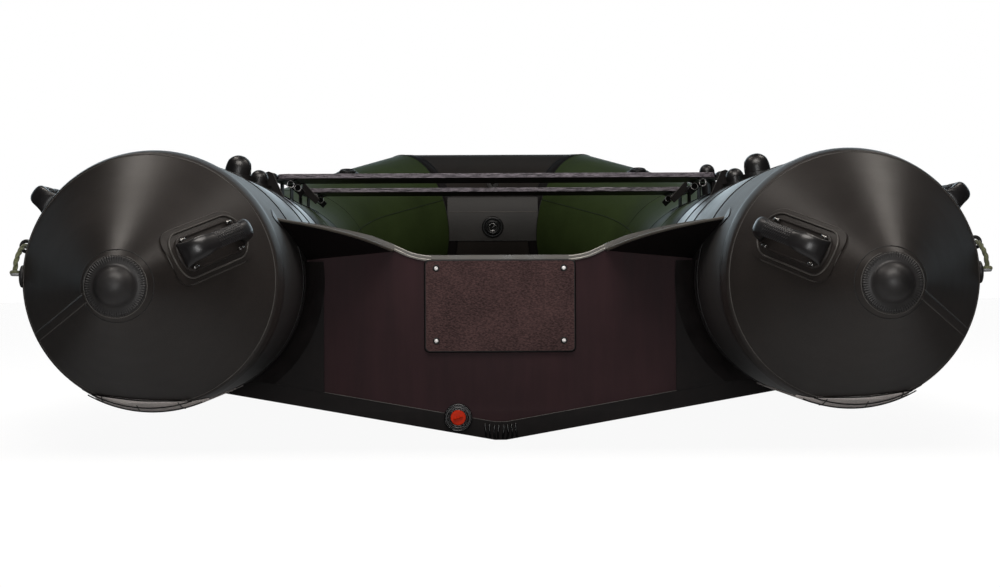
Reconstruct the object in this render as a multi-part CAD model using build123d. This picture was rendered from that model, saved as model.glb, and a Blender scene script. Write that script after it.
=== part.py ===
from build123d import *
import os
from math import atan2, cos, degrees, radians, sin, sqrt, tan

# Inflatable motor boat: two side tubes that meet in a raised bow, a plywood transom between them,
# a V shaped air floor, two sliding bench seats and rubber fittings.
# Frame: +Y to the bow, +X to starboard, +Z up. The origin lies on the empty boat's waterline,
# in the middle plane, at the transom's aft face. Lengths in millimetres, angles in degrees.

# Side tubes
beam = 1780.0              # over both tubes
tube_r = 242.0
tube_bottom_z = 37.0       # lowest line of the side tubes above the waterline
shoulder_y = -440.0        # the tube has its full radius from here forward
seam_y = -500.0            # seam between cone and tube
seam_r = 231.0
colour_seam_y = 700.0      # the black tube ends and the green one starts
tube_x = beam / 2 - tube_r
tube_z = tube_bottom_z + tube_r
tube_in_x = tube_x - tube_r    # inner line of the tube

# Stern cones and their rubber caps
ring_y = -800.0            # aft end of the cone
ring_r = 52.0
cone_droop = 11.0          # the small end lies this much lower than the tube's middle
cap_flange_t = 5.0
cap_dome_r = 38.0
cap_dome_h = 32.0
cap_chamfer = 2.0

# Bow: corners of the tube's centre line, with each rise above the side tube's centre
rise_y = 1620.0
rise_share = 0.3           # the upward bend takes this share of the run to the corner
corner_y = 1960.0
corner_rise = 68.0
bow_x = 302.0
bow_y = 2630.0
bow_rise = 223.0
corner_bend_r = 900.0

# Transom board: its top line from the cutout outward, as (x, z)
board_t = 25.0
keel_z = -61.0             # lowest line of the hull
keel_half = 12.0           # half of the flat at the keel
v_slope = 0.178            # rise of the bottom per millimetre outward
v_half = tube_x - 8.0      # the V is drawn this far out, inside the tubes
cutout = (155.0, 329.0)
cutout_bend = (189.0, 336.0)
wing_w = tube_in_x - cutout_bend[0]
ramp_low = (cutout_bend[0] + 0.18 * wing_w, 354.0)
ramp_high = (cutout_bend[0] + 0.383 * wing_w, 371.0)
wing_bend = (cutout_bend[0] + 0.862 * wing_w, 394.0)
wing_end = (tube_in_x + 74.0, 408.0)
seat_gap = 0.3             # clearance where a piece is seated on a tube
face_gap = 0.1             # clearance between flat pieces that are glued or screwed together

# Pieces on the transom
plate_w, plate_h, plate_t, plate_corner = 315.0, 191.0, 9.0, 9.0
trim_up, trim_down, trim_t = 3.0, 9.0, 3.5
plate_gap = 0.5            # between the plate's top and the trim
band_t, band_h = 4.0, 34.0
drain_x, drain_z = -90.0, -13.0
drain_flange_r, drain_flange_t = 30.0, 9.0
drain_pipe_r, drain_bore_r, drain_bore_depth = 20.0, 16.0, 22.0
drain_nut_r, drain_nut_t = 27.0, 7.0
plug_proud, plug_gap = 2.0, 0.2

# Gussets: a sheet from the board's shoulder back to each tube
gusset_t = 3.0
gusset_drop = 2.0          # the sheet starts this much under the edge trim
gusset_tube_z = tube_z + 47.0   # where board, tube and sheet meet
gusset_tip = (-305.0, tube_z + 120.0)   # y and z of its aft corner on the tube
gusset_bulge = 20.0
gusset_root = 60.0         # the sheet is drawn this far into the tube before it is cut

# Holders: rubber angles that clamp the board's ends to the tubes
holder_t = 5.0
holder_edge_x = tube_in_x - 32.0   # inner edge of the flange on the board
cove_w, cove_l = 34.0, 85.0
cove_mid = (9.0, 34.0)     # how far off the tube and off the board the hollow passes
fore_cove_w, fore_cove_l = 40.0, 30.0
cove_edge = 2.0            # thickness at the edge on the tube
holder_reach = 40.0        # the holder's room starts this far inside its flange
holder_top_gap = 4.0       # the aft holder ends this far under the gusset
floor_top_gap = 6.0        # the fore holder stands this far over the air floor

# Air floor and hull bottom
floor_t = 58.0
rib_count = 6              # ribs on each side of the keel
rib_relief = 9.0
rib_outer_x = tube_x - 56.0
floor_end_y = 1500.0
strip_half, strip_t, strip_start = 55.0, 3.0, 70.0

# Wear strips under the stern
wear_t = 3.0
wear_half_angle = 29.0
wear_turn = 4.0            # the strip's middle is turned this much outward of straight down
wear_aft_y = -522.0
wear_end_r = 124.0         # the aft end is rounded, as seen from above
wear_fore_y = -6.0

# Bench rails and benches
rail_x = tube_x - 95.0
bead_rise = 18.5           # bead's middle above the tube's top
bead_z = tube_z + tube_r + bead_rise
bead_r, web_t = 4.5, 3.0
rail_aft_y, rail_fore_y = 545.0, 1510.0
skirt_half, skirt_t = 30.0, 2.2
foot_count, foot_l = 5, 62.0   # feet that carry the bead
channel_r, channel_gap, channel_slot = 9.0, 0.5, 5.0
bench_w, bench_t, bench_corner, bench_round = 220.0, 12.0, 26.0, 2.0
bench_aft_y = {"aft": 600.0, "fore": 1230.0}
channel_inset = 12.0       # the channels stop this far from each edge of a bench
tongue_w, tongue_t = 40.0, 2.5

# Fittings on top of the tubes, each turned this many degrees inward from straight up
oarlock_y, oarlock_turn = 300.0, 11.5
oarlock_base_r, oarlock_base_h = 46.0, 10.0
neck_r, neck_gap, neck_depth = 13.0, 0.3, 7.0
oarlock_head_r, oarlock_head_h, oarlock_rim_h = 30.0, 42.0, 12.0
oarlock_lift = 1.0         # running gap under the turning head
oar_bore_r, oar_bore_h = 12.0, 17.0
mount_y, mount_turn = 490.0, 17.0
mount_base_r, mount_base_h = 34.0, 8.0
mount_head_r, mount_head_h, mount_rim_h = 22.0, 30.0, 8.0
rod_y, rod_turn = 1310.0, 6.6
rod_base_r, rod_r, rod_h = 34.0, 22.0, 96.0
base_sink = 8.0            # how far a base's blank starts below the skin before it is cut to it

# Valves
valve_r, valve_h, valve_cap_r, valve_cap_h, valve_round = 38.0, 6.0, 26.0, 9.0, 4.0
quarter_valve_share, quarter_valve_tilt = 0.43, 8.0   # share of the way from corner to bow
inner_valve_angle = -6.7   # round the bow tube, from straight aft

# Carry handles and their patches
handle_l, handle_w, handle_h = 172.0, 46.0, 52.0
handle_foot, handle_bar, handle_waist = 32.0, 15.0, 7.0
handle_root = 10.0         # the feet are drawn this far into the skin before they are cut
handle_heel, handle_ends = 8.0, (24.0, 40.0)   # straight foot, then the slope's two runs
handle_slope, handle_inner = 7.0, (12.0, 22.0)
handle_bite_r = 150.0
patch_blank_t = 40.0
patch_l, patch_w, patch_t, patch_corner = 227.0, 100.0, 3.5, 34.0
stern_handle_share, stern_handle_turn = 0.475, 63.7
side_handle_y, side_handle_turn = -330.0, -54.5
bow_handle_angle = 38.0

# Rings on the bow
ring_mid_r, ring_wire_r, tow_base_r, tow_angle = 22.0, 4.0, 45.0, -22.0
small_mid_r, small_wire_r, small_base_r, small_angle = 13.0, 2.5, 22.0, 149.0
ring_base_h, ring_block_h = 5.0, 12.0
inner_patch_half, inner_patch_t = 158.0, 2.0
inner_patch_low, inner_patch_high = -18.0, 18.5

# Rub rail, grab line and its eyes
rub_h, rub_t, rub_aft_y = 32.0, 13.0, -292.0
rub_root, rub_round = 6.0, 4.0
line_r, line_stand = 5.0, 11.5
eye_rise = 66.0            # the eyes' height above the tube's widest line, along the skin
eye_y = [-424.0, 60.0, 540.0, 1020.0, 1452.0]
eye_l, eye_w, eye_h, eye_base_r, eye_bore_r = 20.0, 24.0, 21.0, 24.0, 6.2
eye_base_h = 3.0
lug_y, lug_rise = -474.0, 9.0
line_route = [             # y, height above the tube's widest line along the skin
    (-474.0, 19.0), (-474.0, 35.0), (-468.0, 49.5), (-457.0, 60.5), (-442.0, 66.5), (-410.0, 66.0),
    (-346.0, 46.0), (-240.0, 29.0), (-126.0, 28.0), (-17.0, 45.0), (46.0, 66.0), (74.0, 66.0),
    (136.0, 44.0), (243.0, 27.0), (357.0, 26.0), (466.0, 45.0), (526.0, 66.0), (554.0, 66.0),
    (618.0, 45.0), (724.0, 30.0), (838.0, 29.0), (945.0, 47.0), (1006.0, 66.0), (1034.0, 66.0),
    (1092.0, 47.0), (1186.0, 33.0), (1290.0, 33.0), (1376.0, 48.0), (1420.0, 65.5), (1442.0, 66.0),
]

# Worked out from the sizes above
bow_z = tube_z + bow_rise

os.makedirs("parts", exist_ok=True)
written = []


def save(name, *solids):
    """Writes one node of one or more solids."""
    export_step(solids[0] if len(solids) == 1 else Compound(children=list(solids)), "parts/" + name + ".step")
    written.append(name)


def other_side(shape):
    return mirror(shape, about=Plane.YZ)


def both(name, solid):
    """Writes the starboard piece and its mirror on the port side as two nodes."""
    save(name + "_starboard", solid)
    save(name + "_port", other_side(solid))


def whole(half):
    return half + other_side(half)


def largest(shape):
    return shape.solids().sort_by(SortBy.VOLUME)[-1]


def around(turn, radius, y):
    """A place round the starboard tube: turn is inward from straight up, outward if negative."""
    a = radians(turn)
    return Vector(tube_x - radius * sin(a), y, tube_z + radius * cos(a))


def slab(face, y_aft, y_fore):
    """Stands a face drawn in x and z between two places along Y."""
    plane = Plane(origin=(0, y_aft, 0), x_dir=(1, 0, 0), z_dir=(0, -1, 0))
    return extrude(plane * face, amount=-(y_fore - y_aft))


def y_rod(x, z, r, y_aft, y_fore):
    plane = Plane(origin=(x, y_aft, z), x_dir=(1, 0, 0), z_dir=(0, 1, 0))
    return extrude(plane * Circle(r), amount=y_fore - y_aft)


def disc(plane, r, low, high):
    return extrude(plane.offset(low) * Circle(r), amount=high - low)


def dome_arc(r, rim, top):
    """Arc from (r, rim) to (0, top) round a centre on the axis, so that it turns to a sphere's cap."""
    centre = (top ** 2 - rim ** 2 - r ** 2) / (2 * (top - rim))
    ball_r = abs(top - centre)
    half = atan2(r, abs(rim - centre)) / 2
    way = 1 if top > rim else -1
    return ThreePointArc((r, rim), (ball_r * sin(half), centre + way * ball_r * cos(half)), (0, top))


# Tube centre line: straight, rising, turned in at the corner and across the bow

def bend(before, at, after, radius):
    """Tangent arc at a corner of the centre line: its start, middle and end."""
    a = (Vector(*before) - Vector(*at)).normalized()
    b = (Vector(*after) - Vector(*at)).normalized()
    half = radians(a.get_angle(b)) / 2
    run = radius / tan(half)
    axis = (a + b).normalized()
    centre = Vector(*at) + axis * (radius / sin(half))
    return Vector(*at) + a * run, centre - axis * radius, Vector(*at) + b * run


line_side = (tube_x, colour_seam_y, tube_z)
line_rise = (tube_x, rise_y, tube_z)
line_corner = (tube_x, corner_y, tube_z + corner_rise)
line_bow = (bow_x, bow_y, bow_z)
line_middle = (0, bow_y, bow_z)
rise_turn = atan2(corner_rise, corner_y - rise_y)
rise_bend_r = rise_share * (corner_y - rise_y) / tan(rise_turn / 2)
rise_arc = bend(line_side, line_rise, line_corner, rise_bend_r)
corner_arc = bend(line_rise, line_corner, line_bow, corner_bend_r)
oblique_line = Line(corner_arc[2], line_bow)
side_path = [
    Line(line_side, rise_arc[0]),
    ThreePointArc(*rise_arc),
    Line(rise_arc[2], corner_arc[0]),
]
oblique_way = oblique_line % 0
past_bow = Vector(*line_bow) + oblique_way * tube_r
quarter_path = [ThreePointArc(*corner_arc), Line(corner_arc[2], past_bow)]
across_path = [Line((-bow_x, bow_y, bow_z), line_bow)]


def pipe(path, radius):
    """A round tube of the given radius along each edge of a path."""
    pieces = [sweep(Plane(origin=edge @ 0, z_dir=edge % 0) * Circle(radius), path=edge) for edge in path]
    joined = pieces[0]
    for piece in pieces[1:]:
        joined = joined + piece
    return joined


mitre_plane = Plane(origin=line_bow, z_dir=tuple((oblique_way + Vector(-1, 0, 0)).normalized()))
mitre_room = 4 * tube_r


def bow_quarter(radius):
    """The oblique tube up to the mitre, where it meets the bow's middle piece."""
    ahead = mitre_plane.location * (Pos(0, 0, mitre_room / 2) * Box(mitre_room, mitre_room, mitre_room))
    return pipe(quarter_path, radius) - ahead


def bow_middle(radius):
    """Half of the middle piece: a straight tube across the bow, from the mitre to the middle."""
    behind = mitre_plane.location * (Pos(0, 0, -mitre_room / 2) * Box(mitre_room, mitre_room, mitre_room))
    return pipe([Line((bow_x + tube_r, bow_y, bow_z), line_middle)], radius) - behind


def stern_tube(extra=0.0):
    """The black tube with its rounded shoulder aft."""
    r_full, r_seam = tube_r + extra, seam_r + extra
    profile = make_face([
        Line((0, seam_y), (0, colour_seam_y)),
        Line((0, colour_seam_y), (r_full, colour_seam_y)),
        Line((r_full, colour_seam_y), (r_full, shoulder_y)),
        TangentArc((r_full, shoulder_y), (r_seam, seam_y), tangent=(0, -1)),
        Line((r_seam, seam_y), (0, seam_y)),
    ])
    return Pos(tube_x, 0, tube_z) * revolve(profile, axis=Axis.Y)


def cone(extra=0.0):
    """The cone from the seam back to the cap, a little lower at its small end."""
    wide = Plane(origin=(tube_x, seam_y, tube_z), z_dir=(0, -1, 0)) * Circle(seam_r + extra)
    small = Plane(origin=(tube_x, ring_y, tube_z - cone_droop), z_dir=(0, -1, 0)) * Circle(ring_r + extra)
    return loft([wide, small], ruled=True)


def cone_cap():
    """Rubber cap on the small end: a flange that carries a dome."""
    face_y = ring_y - seat_gap
    dome_y = face_y - cap_flange_t
    tip_y = dome_y - cap_dome_h
    profile = make_face([
        Line((0, face_y), (ring_r, face_y)),
        Line((ring_r, face_y), (ring_r - cap_chamfer, dome_y)),
        Line((ring_r - cap_chamfer, dome_y), (cap_dome_r, dome_y)),
        dome_arc(cap_dome_r, dome_y, tip_y),
        Line((0, tip_y), (0, face_y)),
    ])
    return Pos(tube_x, 0, tube_z - cone_droop) * revolve(profile, axis=Axis.Y)


aft_tube = stern_tube()
both("stern_tube", aft_tube)
both("stern_cone", cone())
cap = cone_cap()
save("cone_caps", cap, other_side(cap))
both("side_tube", pipe(side_path, tube_r))
both("bow_quarter", bow_quarter(tube_r))
save("bow_center", whole(bow_middle(tube_r)))

# The inflated shape, grown by the seat's clearance, cuts whatever is glued to it
skin_r = tube_r + seat_gap
seat_side = stern_tube(seat_gap) + pipe(side_path, skin_r) + bow_quarter(skin_r)
seat_side = seat_side + bow_middle(skin_r)
seat_both = whole(seat_side)


def off_skin(piece):
    """Cuts a piece at the bow back to the skin, one length of tube after the other."""
    for skin in (pipe(side_path, skin_r), bow_quarter(skin_r), bow_middle(skin_r)):
        piece = piece - whole(skin)
    return piece


# Transom

def v_z(x, lift):
    """Height of the V bottom at x, lifted by lift."""
    return keel_z + lift + max(0.0, x - keel_half) * v_slope


def top_line(up):
    """The board's top line on the starboard half, shifted up."""
    def p(place):
        return (place[0], place[1] + up)
    return [
        Line((0, cutout[1] + up), p(cutout)),
        ThreePointArc(p(cutout), p(cutout_bend), p(ramp_low)),
        Line(p(ramp_low), p(ramp_high)),
        ThreePointArc(p(ramp_high), p(wing_bend), p(wing_end)),
    ]


def board_face(up, low_lift):
    """Half of the board: its top line shifted up, its bottom line lifted by low_lift."""
    top = top_line(up)
    outer_z = wing_end[1] + up
    return make_face(top + [
        Line((wing_end[0], outer_z), (v_half, outer_z)),
        Line((v_half, outer_z), (v_half, v_z(v_half, low_lift))),
        Line((v_half, v_z(v_half, low_lift)), (keel_half, v_z(0, low_lift))),
        Line((keel_half, v_z(0, low_lift)), (0, v_z(0, low_lift))),
        Line((0, v_z(0, low_lift)), (0, cutout[1] + up)),
    ])


def top_band(low, high):
    """Half of a band that follows the top line."""
    return make_face(top_line(low) + top_line(high) + [
        Line((0, cutout[1] + low), (0, cutout[1] + high)),
        Line((wing_end[0], wing_end[1] + low), (wing_end[0], wing_end[1] + high)),
    ])


def v_band(low, high):
    """Half of a band that follows the V bottom."""
    return make_face(Polyline(
        (0, v_z(0, low)), (keel_half, v_z(0, low)), (v_half, v_z(v_half, low)),
        (v_half, v_z(v_half, high)), (keel_half, v_z(0, high)), (0, v_z(0, high)),
        close=True,
    ))


drain_hole = y_rod(drain_x, drain_z, drain_pipe_r + face_gap, -board_t, 2 * board_t)
board = whole(slab(board_face(0, band_t), 0, board_t)) - seat_both - drain_hole
save("transom_board", board)

# Plates that an outboard's clamps bear on
plate_z = cutout[1] - trim_down - plate_gap - plate_h / 2
plate_face = Pos(0, plate_z) * RectangleRounded(plate_w, plate_h, plate_corner)
save("motor_plate_outer", slab(plate_face, -plate_t, -face_gap))
save("motor_plate_inner", slab(plate_face, board_t + face_gap, board_t + plate_t))

# Edge trim over the board's top: a channel open downward
trim_gap = 0.2
trim_room = slab(top_band(-trim_down - 1, trim_gap), -trim_gap, board_t + trim_gap)
trim = slab(top_band(-trim_down, trim_up), -trim_t, board_t + trim_t) - trim_room
save("transom_trim", whole(trim) - seat_both)

# Gussets
sheet_in = Vector(ramp_low[0], -seat_gap, ramp_low[1] - trim_down - gusset_drop)
sheet_out = Vector(tube_x - sqrt(tube_r ** 2 - (gusset_tube_z - tube_z) ** 2), -seat_gap, gusset_tube_z)
tip_y, tip_z = gusset_tip
sheet_tip = Vector(tube_x - sqrt(tube_r ** 2 - (tip_z - tube_z) ** 2), tip_y, tip_z)
down = (sheet_tip - sheet_out).cross(sheet_in - sheet_out).normalized()
if down.Z > 0:
    down = down * -1
free_mid = (sheet_in + sheet_tip) * 0.5
away = (sheet_in - sheet_tip).cross(down).normalized()
if away.dot(free_mid - sheet_out) < 0:
    away = away * -1
tip_in_tube = sheet_tip + (sheet_tip - sheet_in).normalized() * gusset_root
sheet_slope = (sheet_out.Z - sheet_in.Z) / (sheet_out.X - sheet_in.X)
out_in_tube = sheet_out + Vector(gusset_root, 0, sheet_slope * gusset_root)
gusset_face = make_face([
    ThreePointArc(sheet_in, free_mid + away * gusset_bulge, sheet_tip),
    Line(sheet_tip, tip_in_tube),
    Line(tip_in_tube, out_in_tube),
    Line(out_in_tube, sheet_in),
])
gusset = largest(extrude(gusset_face, amount=gusset_t, dir=down) - seat_side)
both("transom_gusset", gusset)


# Holders

def holder_room(low_lift, high_z, y_aft, y_fore):
    """The space between band or floor and a height, from the flange's edge to inside the tube."""
    return slab(make_face(Polyline(
        (holder_edge_x - holder_reach, v_z(holder_edge_x - holder_reach, low_lift)), (v_half, v_z(v_half, low_lift)),
        (v_half, high_z), (holder_edge_x - holder_reach, high_z),
        close=True,
    )), y_aft, y_fore)


def cove(face_y, sign, width, length, hollow):
    """A rubber fillet between the board's face and the tube."""
    y0 = face_y + sign * face_gap
    y1 = face_y + sign * length
    y2 = face_y + sign * holder_t
    profile = make_face([
        Line((skin_r, y0), (skin_r, y1)),
        Line((skin_r, y1), (skin_r + cove_edge, y1)),
        ThreePointArc((skin_r + cove_edge, y1), (skin_r + hollow[0], face_y + sign * hollow[1]), (tube_r + width, y2)),
        Line((tube_r + width, y2), (tube_r + width, y0)),
        Line((tube_r + width, y0), (skin_r, y0)),
    ])
    return Pos(tube_x, 0, tube_z) * revolve(profile, axis=Axis.Y)


aft_top_z = gusset_tube_z - gusset_t - holder_top_gap
aft_room = holder_room(band_t + band_h + seat_gap, aft_top_z, -2 * cove_l, board_t)
flange_face = Pos((holder_edge_x + v_half) / 2, 0) * Rectangle(v_half - holder_edge_x, 4 * tube_r)
flange = slab(flange_face, -holder_t, -face_gap) - seat_side
aft_cove = cove(0, -1, cove_w, cove_l, cove_mid) & aft_room
aft_holder = aft_cove + (flange & aft_room)
floor_top_lift = floor_t + 2 * rib_relief + floor_top_gap
fore_room = holder_room(floor_top_lift, ramp_high[1] - trim_down, 0, board_t + 2 * fore_cove_l)
fore_hollow = (0.3 * fore_cove_w, 0.45 * fore_cove_l)
fore_holder = cove(board_t, 1, fore_cove_w, fore_cove_l, fore_hollow) & fore_room
aft_holder, fore_holder = largest(aft_holder), largest(fore_holder)
save("transom_holder_starboard", aft_holder, fore_holder)
save("transom_holder_port", other_side(aft_holder), other_side(fore_holder))

# Black band along the board's bottom, aft of it and under it
band_half = slab(v_band(0, band_t + band_h), -band_t, -face_gap) + slab(v_band(0, band_t - face_gap), -band_t, board_t)
band = whole(band_half) - seat_both
band = band - y_rod(drain_x, drain_z, drain_flange_r + face_gap, -board_t, -face_gap / 2)
save("transom_band", band)

# Drain valve through the board, and its plug
pipe_end_y = board_t + drain_nut_t
flange_part = y_rod(drain_x, drain_z, drain_flange_r, -drain_flange_t, -face_gap)
flange_part = fillet(flange_part.edges().sort_by(Axis.Y)[0], 3.5)
drain = flange_part + y_rod(drain_x, drain_z, drain_pipe_r, -drain_flange_t / 2, pipe_end_y)
drain = drain + y_rod(drain_x, drain_z, drain_nut_r, board_t + face_gap, pipe_end_y)
drain = drain - y_rod(drain_x, drain_z, drain_bore_r + plug_gap, -board_t, -drain_flange_t + drain_bore_depth)
save("drain_valve", drain)
plug_end_y = -drain_flange_t + drain_bore_depth - plug_gap
plug = y_rod(drain_x, drain_z, drain_bore_r, -drain_flange_t - plug_proud, plug_end_y)
save("drain_plug", fillet(plug.edges().sort_by(Axis.Y)[0], 1.5))


# Air floor: a V of long ribs side by side, from the transom forward

rib_pitch = (rib_outer_x - keel_half) / rib_count


def rib_row(lift, bulge):
    """The ribs' joints from the keel outward, and an arc over each rib."""
    xs = [0.0] + [keel_half + rib_pitch * (i + 1) for i in range(rib_count)]
    joints = [(x, v_z(x, lift)) for x in xs]
    arcs = []
    for a, b in zip(joints, joints[1:]):
        arcs.append(ThreePointArc(a, ((a[0] + b[0]) / 2, (a[1] + b[1]) / 2 + bulge), b))
    return joints, arcs


upper, upper_arcs = rib_row(floor_t + rib_relief, rib_relief)
lower, lower_arcs = rib_row(rib_relief, -rib_relief)
floor_face = make_face(upper_arcs + lower_arcs + [Line(upper[-1], lower[-1]), Line(upper[0], lower[0])])
air_floor = whole(slab(floor_face, pipe_end_y + seat_gap, floor_end_y)) - seat_both
save("air_floor", largest(air_floor))

# Bow bottom: sections of the rising V
bow_sections = [
    # y, z of the keel, x and z of the outer edge
    (floor_end_y + seat_gap, keel_z, tube_x - 48.0, 42.0),
    (1850.0, -42.0, tube_x - 58.0, 88.0),
    (2150.0, 20.0, tube_x - 178.0, 158.0),
    (2400.0, 120.0, bow_x + 28.0, 219.0),
    (2590.0, 226.0, bow_x - 102.0, 245.0),
]


def bottom_loop(y, low, edge_x, edge_z):
    return make_face(Polyline(
        (-edge_x, y, edge_z), (-keel_half, y, low), (keel_half, y, low), (edge_x, y, edge_z),
        (edge_x, y, edge_z + floor_t), (keel_half, y, low + floor_t),
        (-keel_half, y, low + floor_t), (-edge_x, y, edge_z + floor_t),
        close=True,
    ))


bow_bottom = off_skin(loft([bottom_loop(*row) for row in bow_sections], ruled=True))
save("bow_bottom", largest(bow_bottom))


# Keel strip under floor and bow bottom
def strip_loop(y, keel):
    out_rise = (strip_half - keel_half) * v_slope
    low = keel - strip_t - seat_gap
    return make_face(Polyline(
        (-strip_half, y, low + out_rise), (-keel_half, y, low), (keel_half, y, low), (strip_half, y, low + out_rise),
        (strip_half, y, low + out_rise + strip_t), (keel_half, y, low + strip_t),
        (-keel_half, y, low + strip_t), (-strip_half, y, low + out_rise + strip_t),
        close=True,
    ))


strip_rows = [(strip_start, keel_z)] + [row[:2] for row in bow_sections[:4]]
save("keel_strip", loft([strip_loop(*row) for row in strip_rows], ruled=True))


# Wear strips round the underside of shoulder and cone

def wear_strip():
    cone_share = (wear_aft_y - seam_y) / (ring_y - seam_y)
    aft_r = seam_r + (ring_r - seam_r) * cone_share + wear_t
    r_in, r_out = seat_gap, seat_gap + wear_t
    profile = make_face([
        Line((aft_r + r_in, wear_aft_y), (aft_r + r_out, wear_aft_y)),
        Line((aft_r + r_out, wear_aft_y), (seam_r + r_out, seam_y)),
        TangentArc((tube_r + r_out, shoulder_y), (seam_r + r_out, seam_y), tangent=(0, -1)),
        Line((tube_r + r_out, shoulder_y), (tube_r + r_out, wear_fore_y)),
        Line((tube_r + r_out, wear_fore_y), (tube_r + r_in, wear_fore_y)),
        Line((tube_r + r_in, wear_fore_y), (tube_r + r_in, shoulder_y)),
        TangentArc((tube_r + r_in, shoulder_y), (seam_r + r_in, seam_y), tangent=(0, -1)),
        Line((seam_r + r_in, seam_y), (aft_r + r_in, wear_aft_y)),
    ])
    start = Rot(0, 90 - wear_half_angle, 0) * profile
    arc_ring = revolve(start, axis=Axis.Y, revolution_arc=2 * wear_half_angle)
    return Pos(tube_x, 0, tube_z) * (Rot(0, -wear_turn, 0) * arc_ring)


wear_round = Pos(tube_x, wear_aft_y + wear_end_r, 0) * Cylinder(wear_end_r, tube_z * 4)
wear_long = Pos(tube_x, wear_aft_y + wear_end_r + tube_r, 0) * Box(2 * wear_end_r, 2 * tube_r, tube_z * 4)
band_room = slab(v_band(-band_t, band_t + band_h), -band_t - strip_t, board_t)
wear = wear_strip() & (wear_round + wear_long)
wear = largest(wear - cone(seat_gap) - aft_tube - band_room)
save("wear_strips", wear, other_side(wear))


# Bench rails: a bead on a web, with skirts glued to the tube

foot_z = tube_z + sqrt(tube_r ** 2 - (tube_x - rail_x) ** 2)
foot_turn = degrees(atan2(tube_x - rail_x, foot_z - tube_z))
skirt_turn = degrees(skirt_half / tube_r)


def skin_band(r_in, r_out, first, last):
    """Face between two arcs round the starboard tube, turned inward from straight up, in x and z."""
    def p(r, turn):
        return (tube_x - r * sin(radians(turn)), tube_z + r * cos(radians(turn)))
    mid = (first + last) / 2
    return make_face([
        ThreePointArc(p(r_in, first), p(r_in, mid), p(r_in, last)),
        Line(p(r_in, last), p(r_out, last)),
        ThreePointArc(p(r_out, last), p(r_out, mid), p(r_out, first)),
        Line(p(r_out, first), p(r_in, first)),
    ])


skirt_face = skin_band(skin_r, skin_r + skirt_t, foot_turn - skirt_turn, foot_turn + skirt_turn)
web_low = foot_z + skirt_t / 2
web_face = Pos(rail_x, (web_low + bead_z) / 2) * Rectangle(web_t, bead_z - web_low)
rail = y_rod(rail_x, bead_z, bead_r, rail_aft_y, rail_fore_y)
foot_pitch = (rail_fore_y - rail_aft_y - foot_l) / (foot_count - 1)
for i in range(foot_count):
    foot_y = rail_aft_y + i * foot_pitch
    rail = rail + slab(web_face, foot_y, foot_y + foot_l) + slab(skirt_face, foot_y, foot_y + foot_l)
both("bench_rail", rail)


# Benches: a board with a channel on each end that runs on the rail's bead

def bench_board(aft_y):
    half_l = rail_x - channel_r - 1
    outline = RectangleRounded(2 * half_l, bench_w, bench_corner)
    seat = Pos(0, aft_y + bench_w / 2, bead_z) * extrude(outline, bench_t / 2, both=True)
    return fillet(seat.faces().filter_by(Axis.Z).edges(), bench_round)


def bench_channel(aft_y):
    y0, y1 = aft_y + channel_inset, aft_y + bench_w - channel_inset
    mid_y = (y0 + y1) / 2
    tongue_z = bead_z - bench_t / 2 - seat_gap - tongue_t / 2
    tongue = Pos(rail_x - channel_r / 2 - tongue_w / 2, mid_y, tongue_z) * Box(tongue_w + channel_r, y1 - y0, tongue_t)
    slot = Pos(rail_x, mid_y, bead_z - channel_r) * Box(channel_slot, y1 - y0 + 2, 2 * channel_r)
    bead_room = y_rod(rail_x, bead_z, bead_r + channel_gap, y0 - 1, y1 + 1)
    return y_rod(rail_x, bead_z, channel_r, y0, y1) + tongue - bead_room - slot


for place, start_y in bench_aft_y.items():
    save("bench_" + place + "_board", bench_board(start_y))
    channel = bench_channel(start_y)
    save("bench_" + place + "_channels", channel, other_side(channel))


# Fittings on top of the tubes

def top_plane(y, turn):
    """Plane on the tube's skin with Z outward and X forward."""
    out = around(turn, 1, 0) - Vector(tube_x, 0, tube_z)
    return Plane(origin=around(turn, tube_r, y), x_dir=(0, 1, 0), z_dir=tuple(out))


def knob(r, low, rim, top, bottom_r=None, bottom=None):
    """A domed knob on a straight rim, round its own Z axis, with a neck below if one is given."""
    neck = [Line((0, low), (r, low))]
    if bottom_r:
        neck = [Line((0, bottom), (bottom_r, bottom)), Line((bottom_r, bottom), (bottom_r, low)), Line((bottom_r, low), (r, low))]
    start = bottom if bottom_r else low
    face = make_face(neck + [
        Line((r, low), (r, rim)),
        dome_arc(r, rim, top),
        Line((0, top), (0, start)),
    ])
    return revolve(Plane.XZ * face, axis=Axis.Z)


# Oarlocks: a rubber base and a head that turns in it, with a hole for the oar's pin
lock_plane = top_plane(oarlock_y, oarlock_turn)
base = disc(lock_plane, oarlock_base_r, -base_sink, oarlock_base_h) - seat_side
base = base - disc(lock_plane, neck_r + neck_gap, oarlock_base_h - neck_depth - neck_gap, 2 * oarlock_base_h)
both("oarlock_base", base)
head_low = oarlock_base_h + oarlock_lift
head = knob(oarlock_head_r, head_low, head_low + oarlock_rim_h, head_low + oarlock_head_h, neck_r, oarlock_base_h - neck_depth)
head = head - Pos(0, 0, head_low + oar_bore_h) * Rot(90, 0, 0) * Cylinder(oar_bore_r, 4 * oarlock_head_r)
both("oarlock_head", lock_plane.location * head)

# Round accessory mounts forward of the oarlocks
mount_plane = top_plane(mount_y, mount_turn)
mount_base = disc(mount_plane, mount_base_r, -base_sink, mount_base_h) - seat_side
mount_top = mount_base_h + mount_head_h
mount_knob = knob(mount_head_r, mount_base_h - 2, mount_base_h + mount_rim_h, mount_top)
both("accessory_mount", mount_base + mount_plane.location * mount_knob)

# A taller round fitting further forward, on the starboard tube only
rod_plane = top_plane(rod_y, rod_turn)
rod_base = disc(rod_plane, rod_base_r, -base_sink, mount_base_h) - seat_side
rod_knob = knob(rod_r, mount_base_h - 2, rod_h - rod_r, rod_h)
save("rod_fitting_starboard", rod_base + rod_plane.location * rod_knob)


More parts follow.
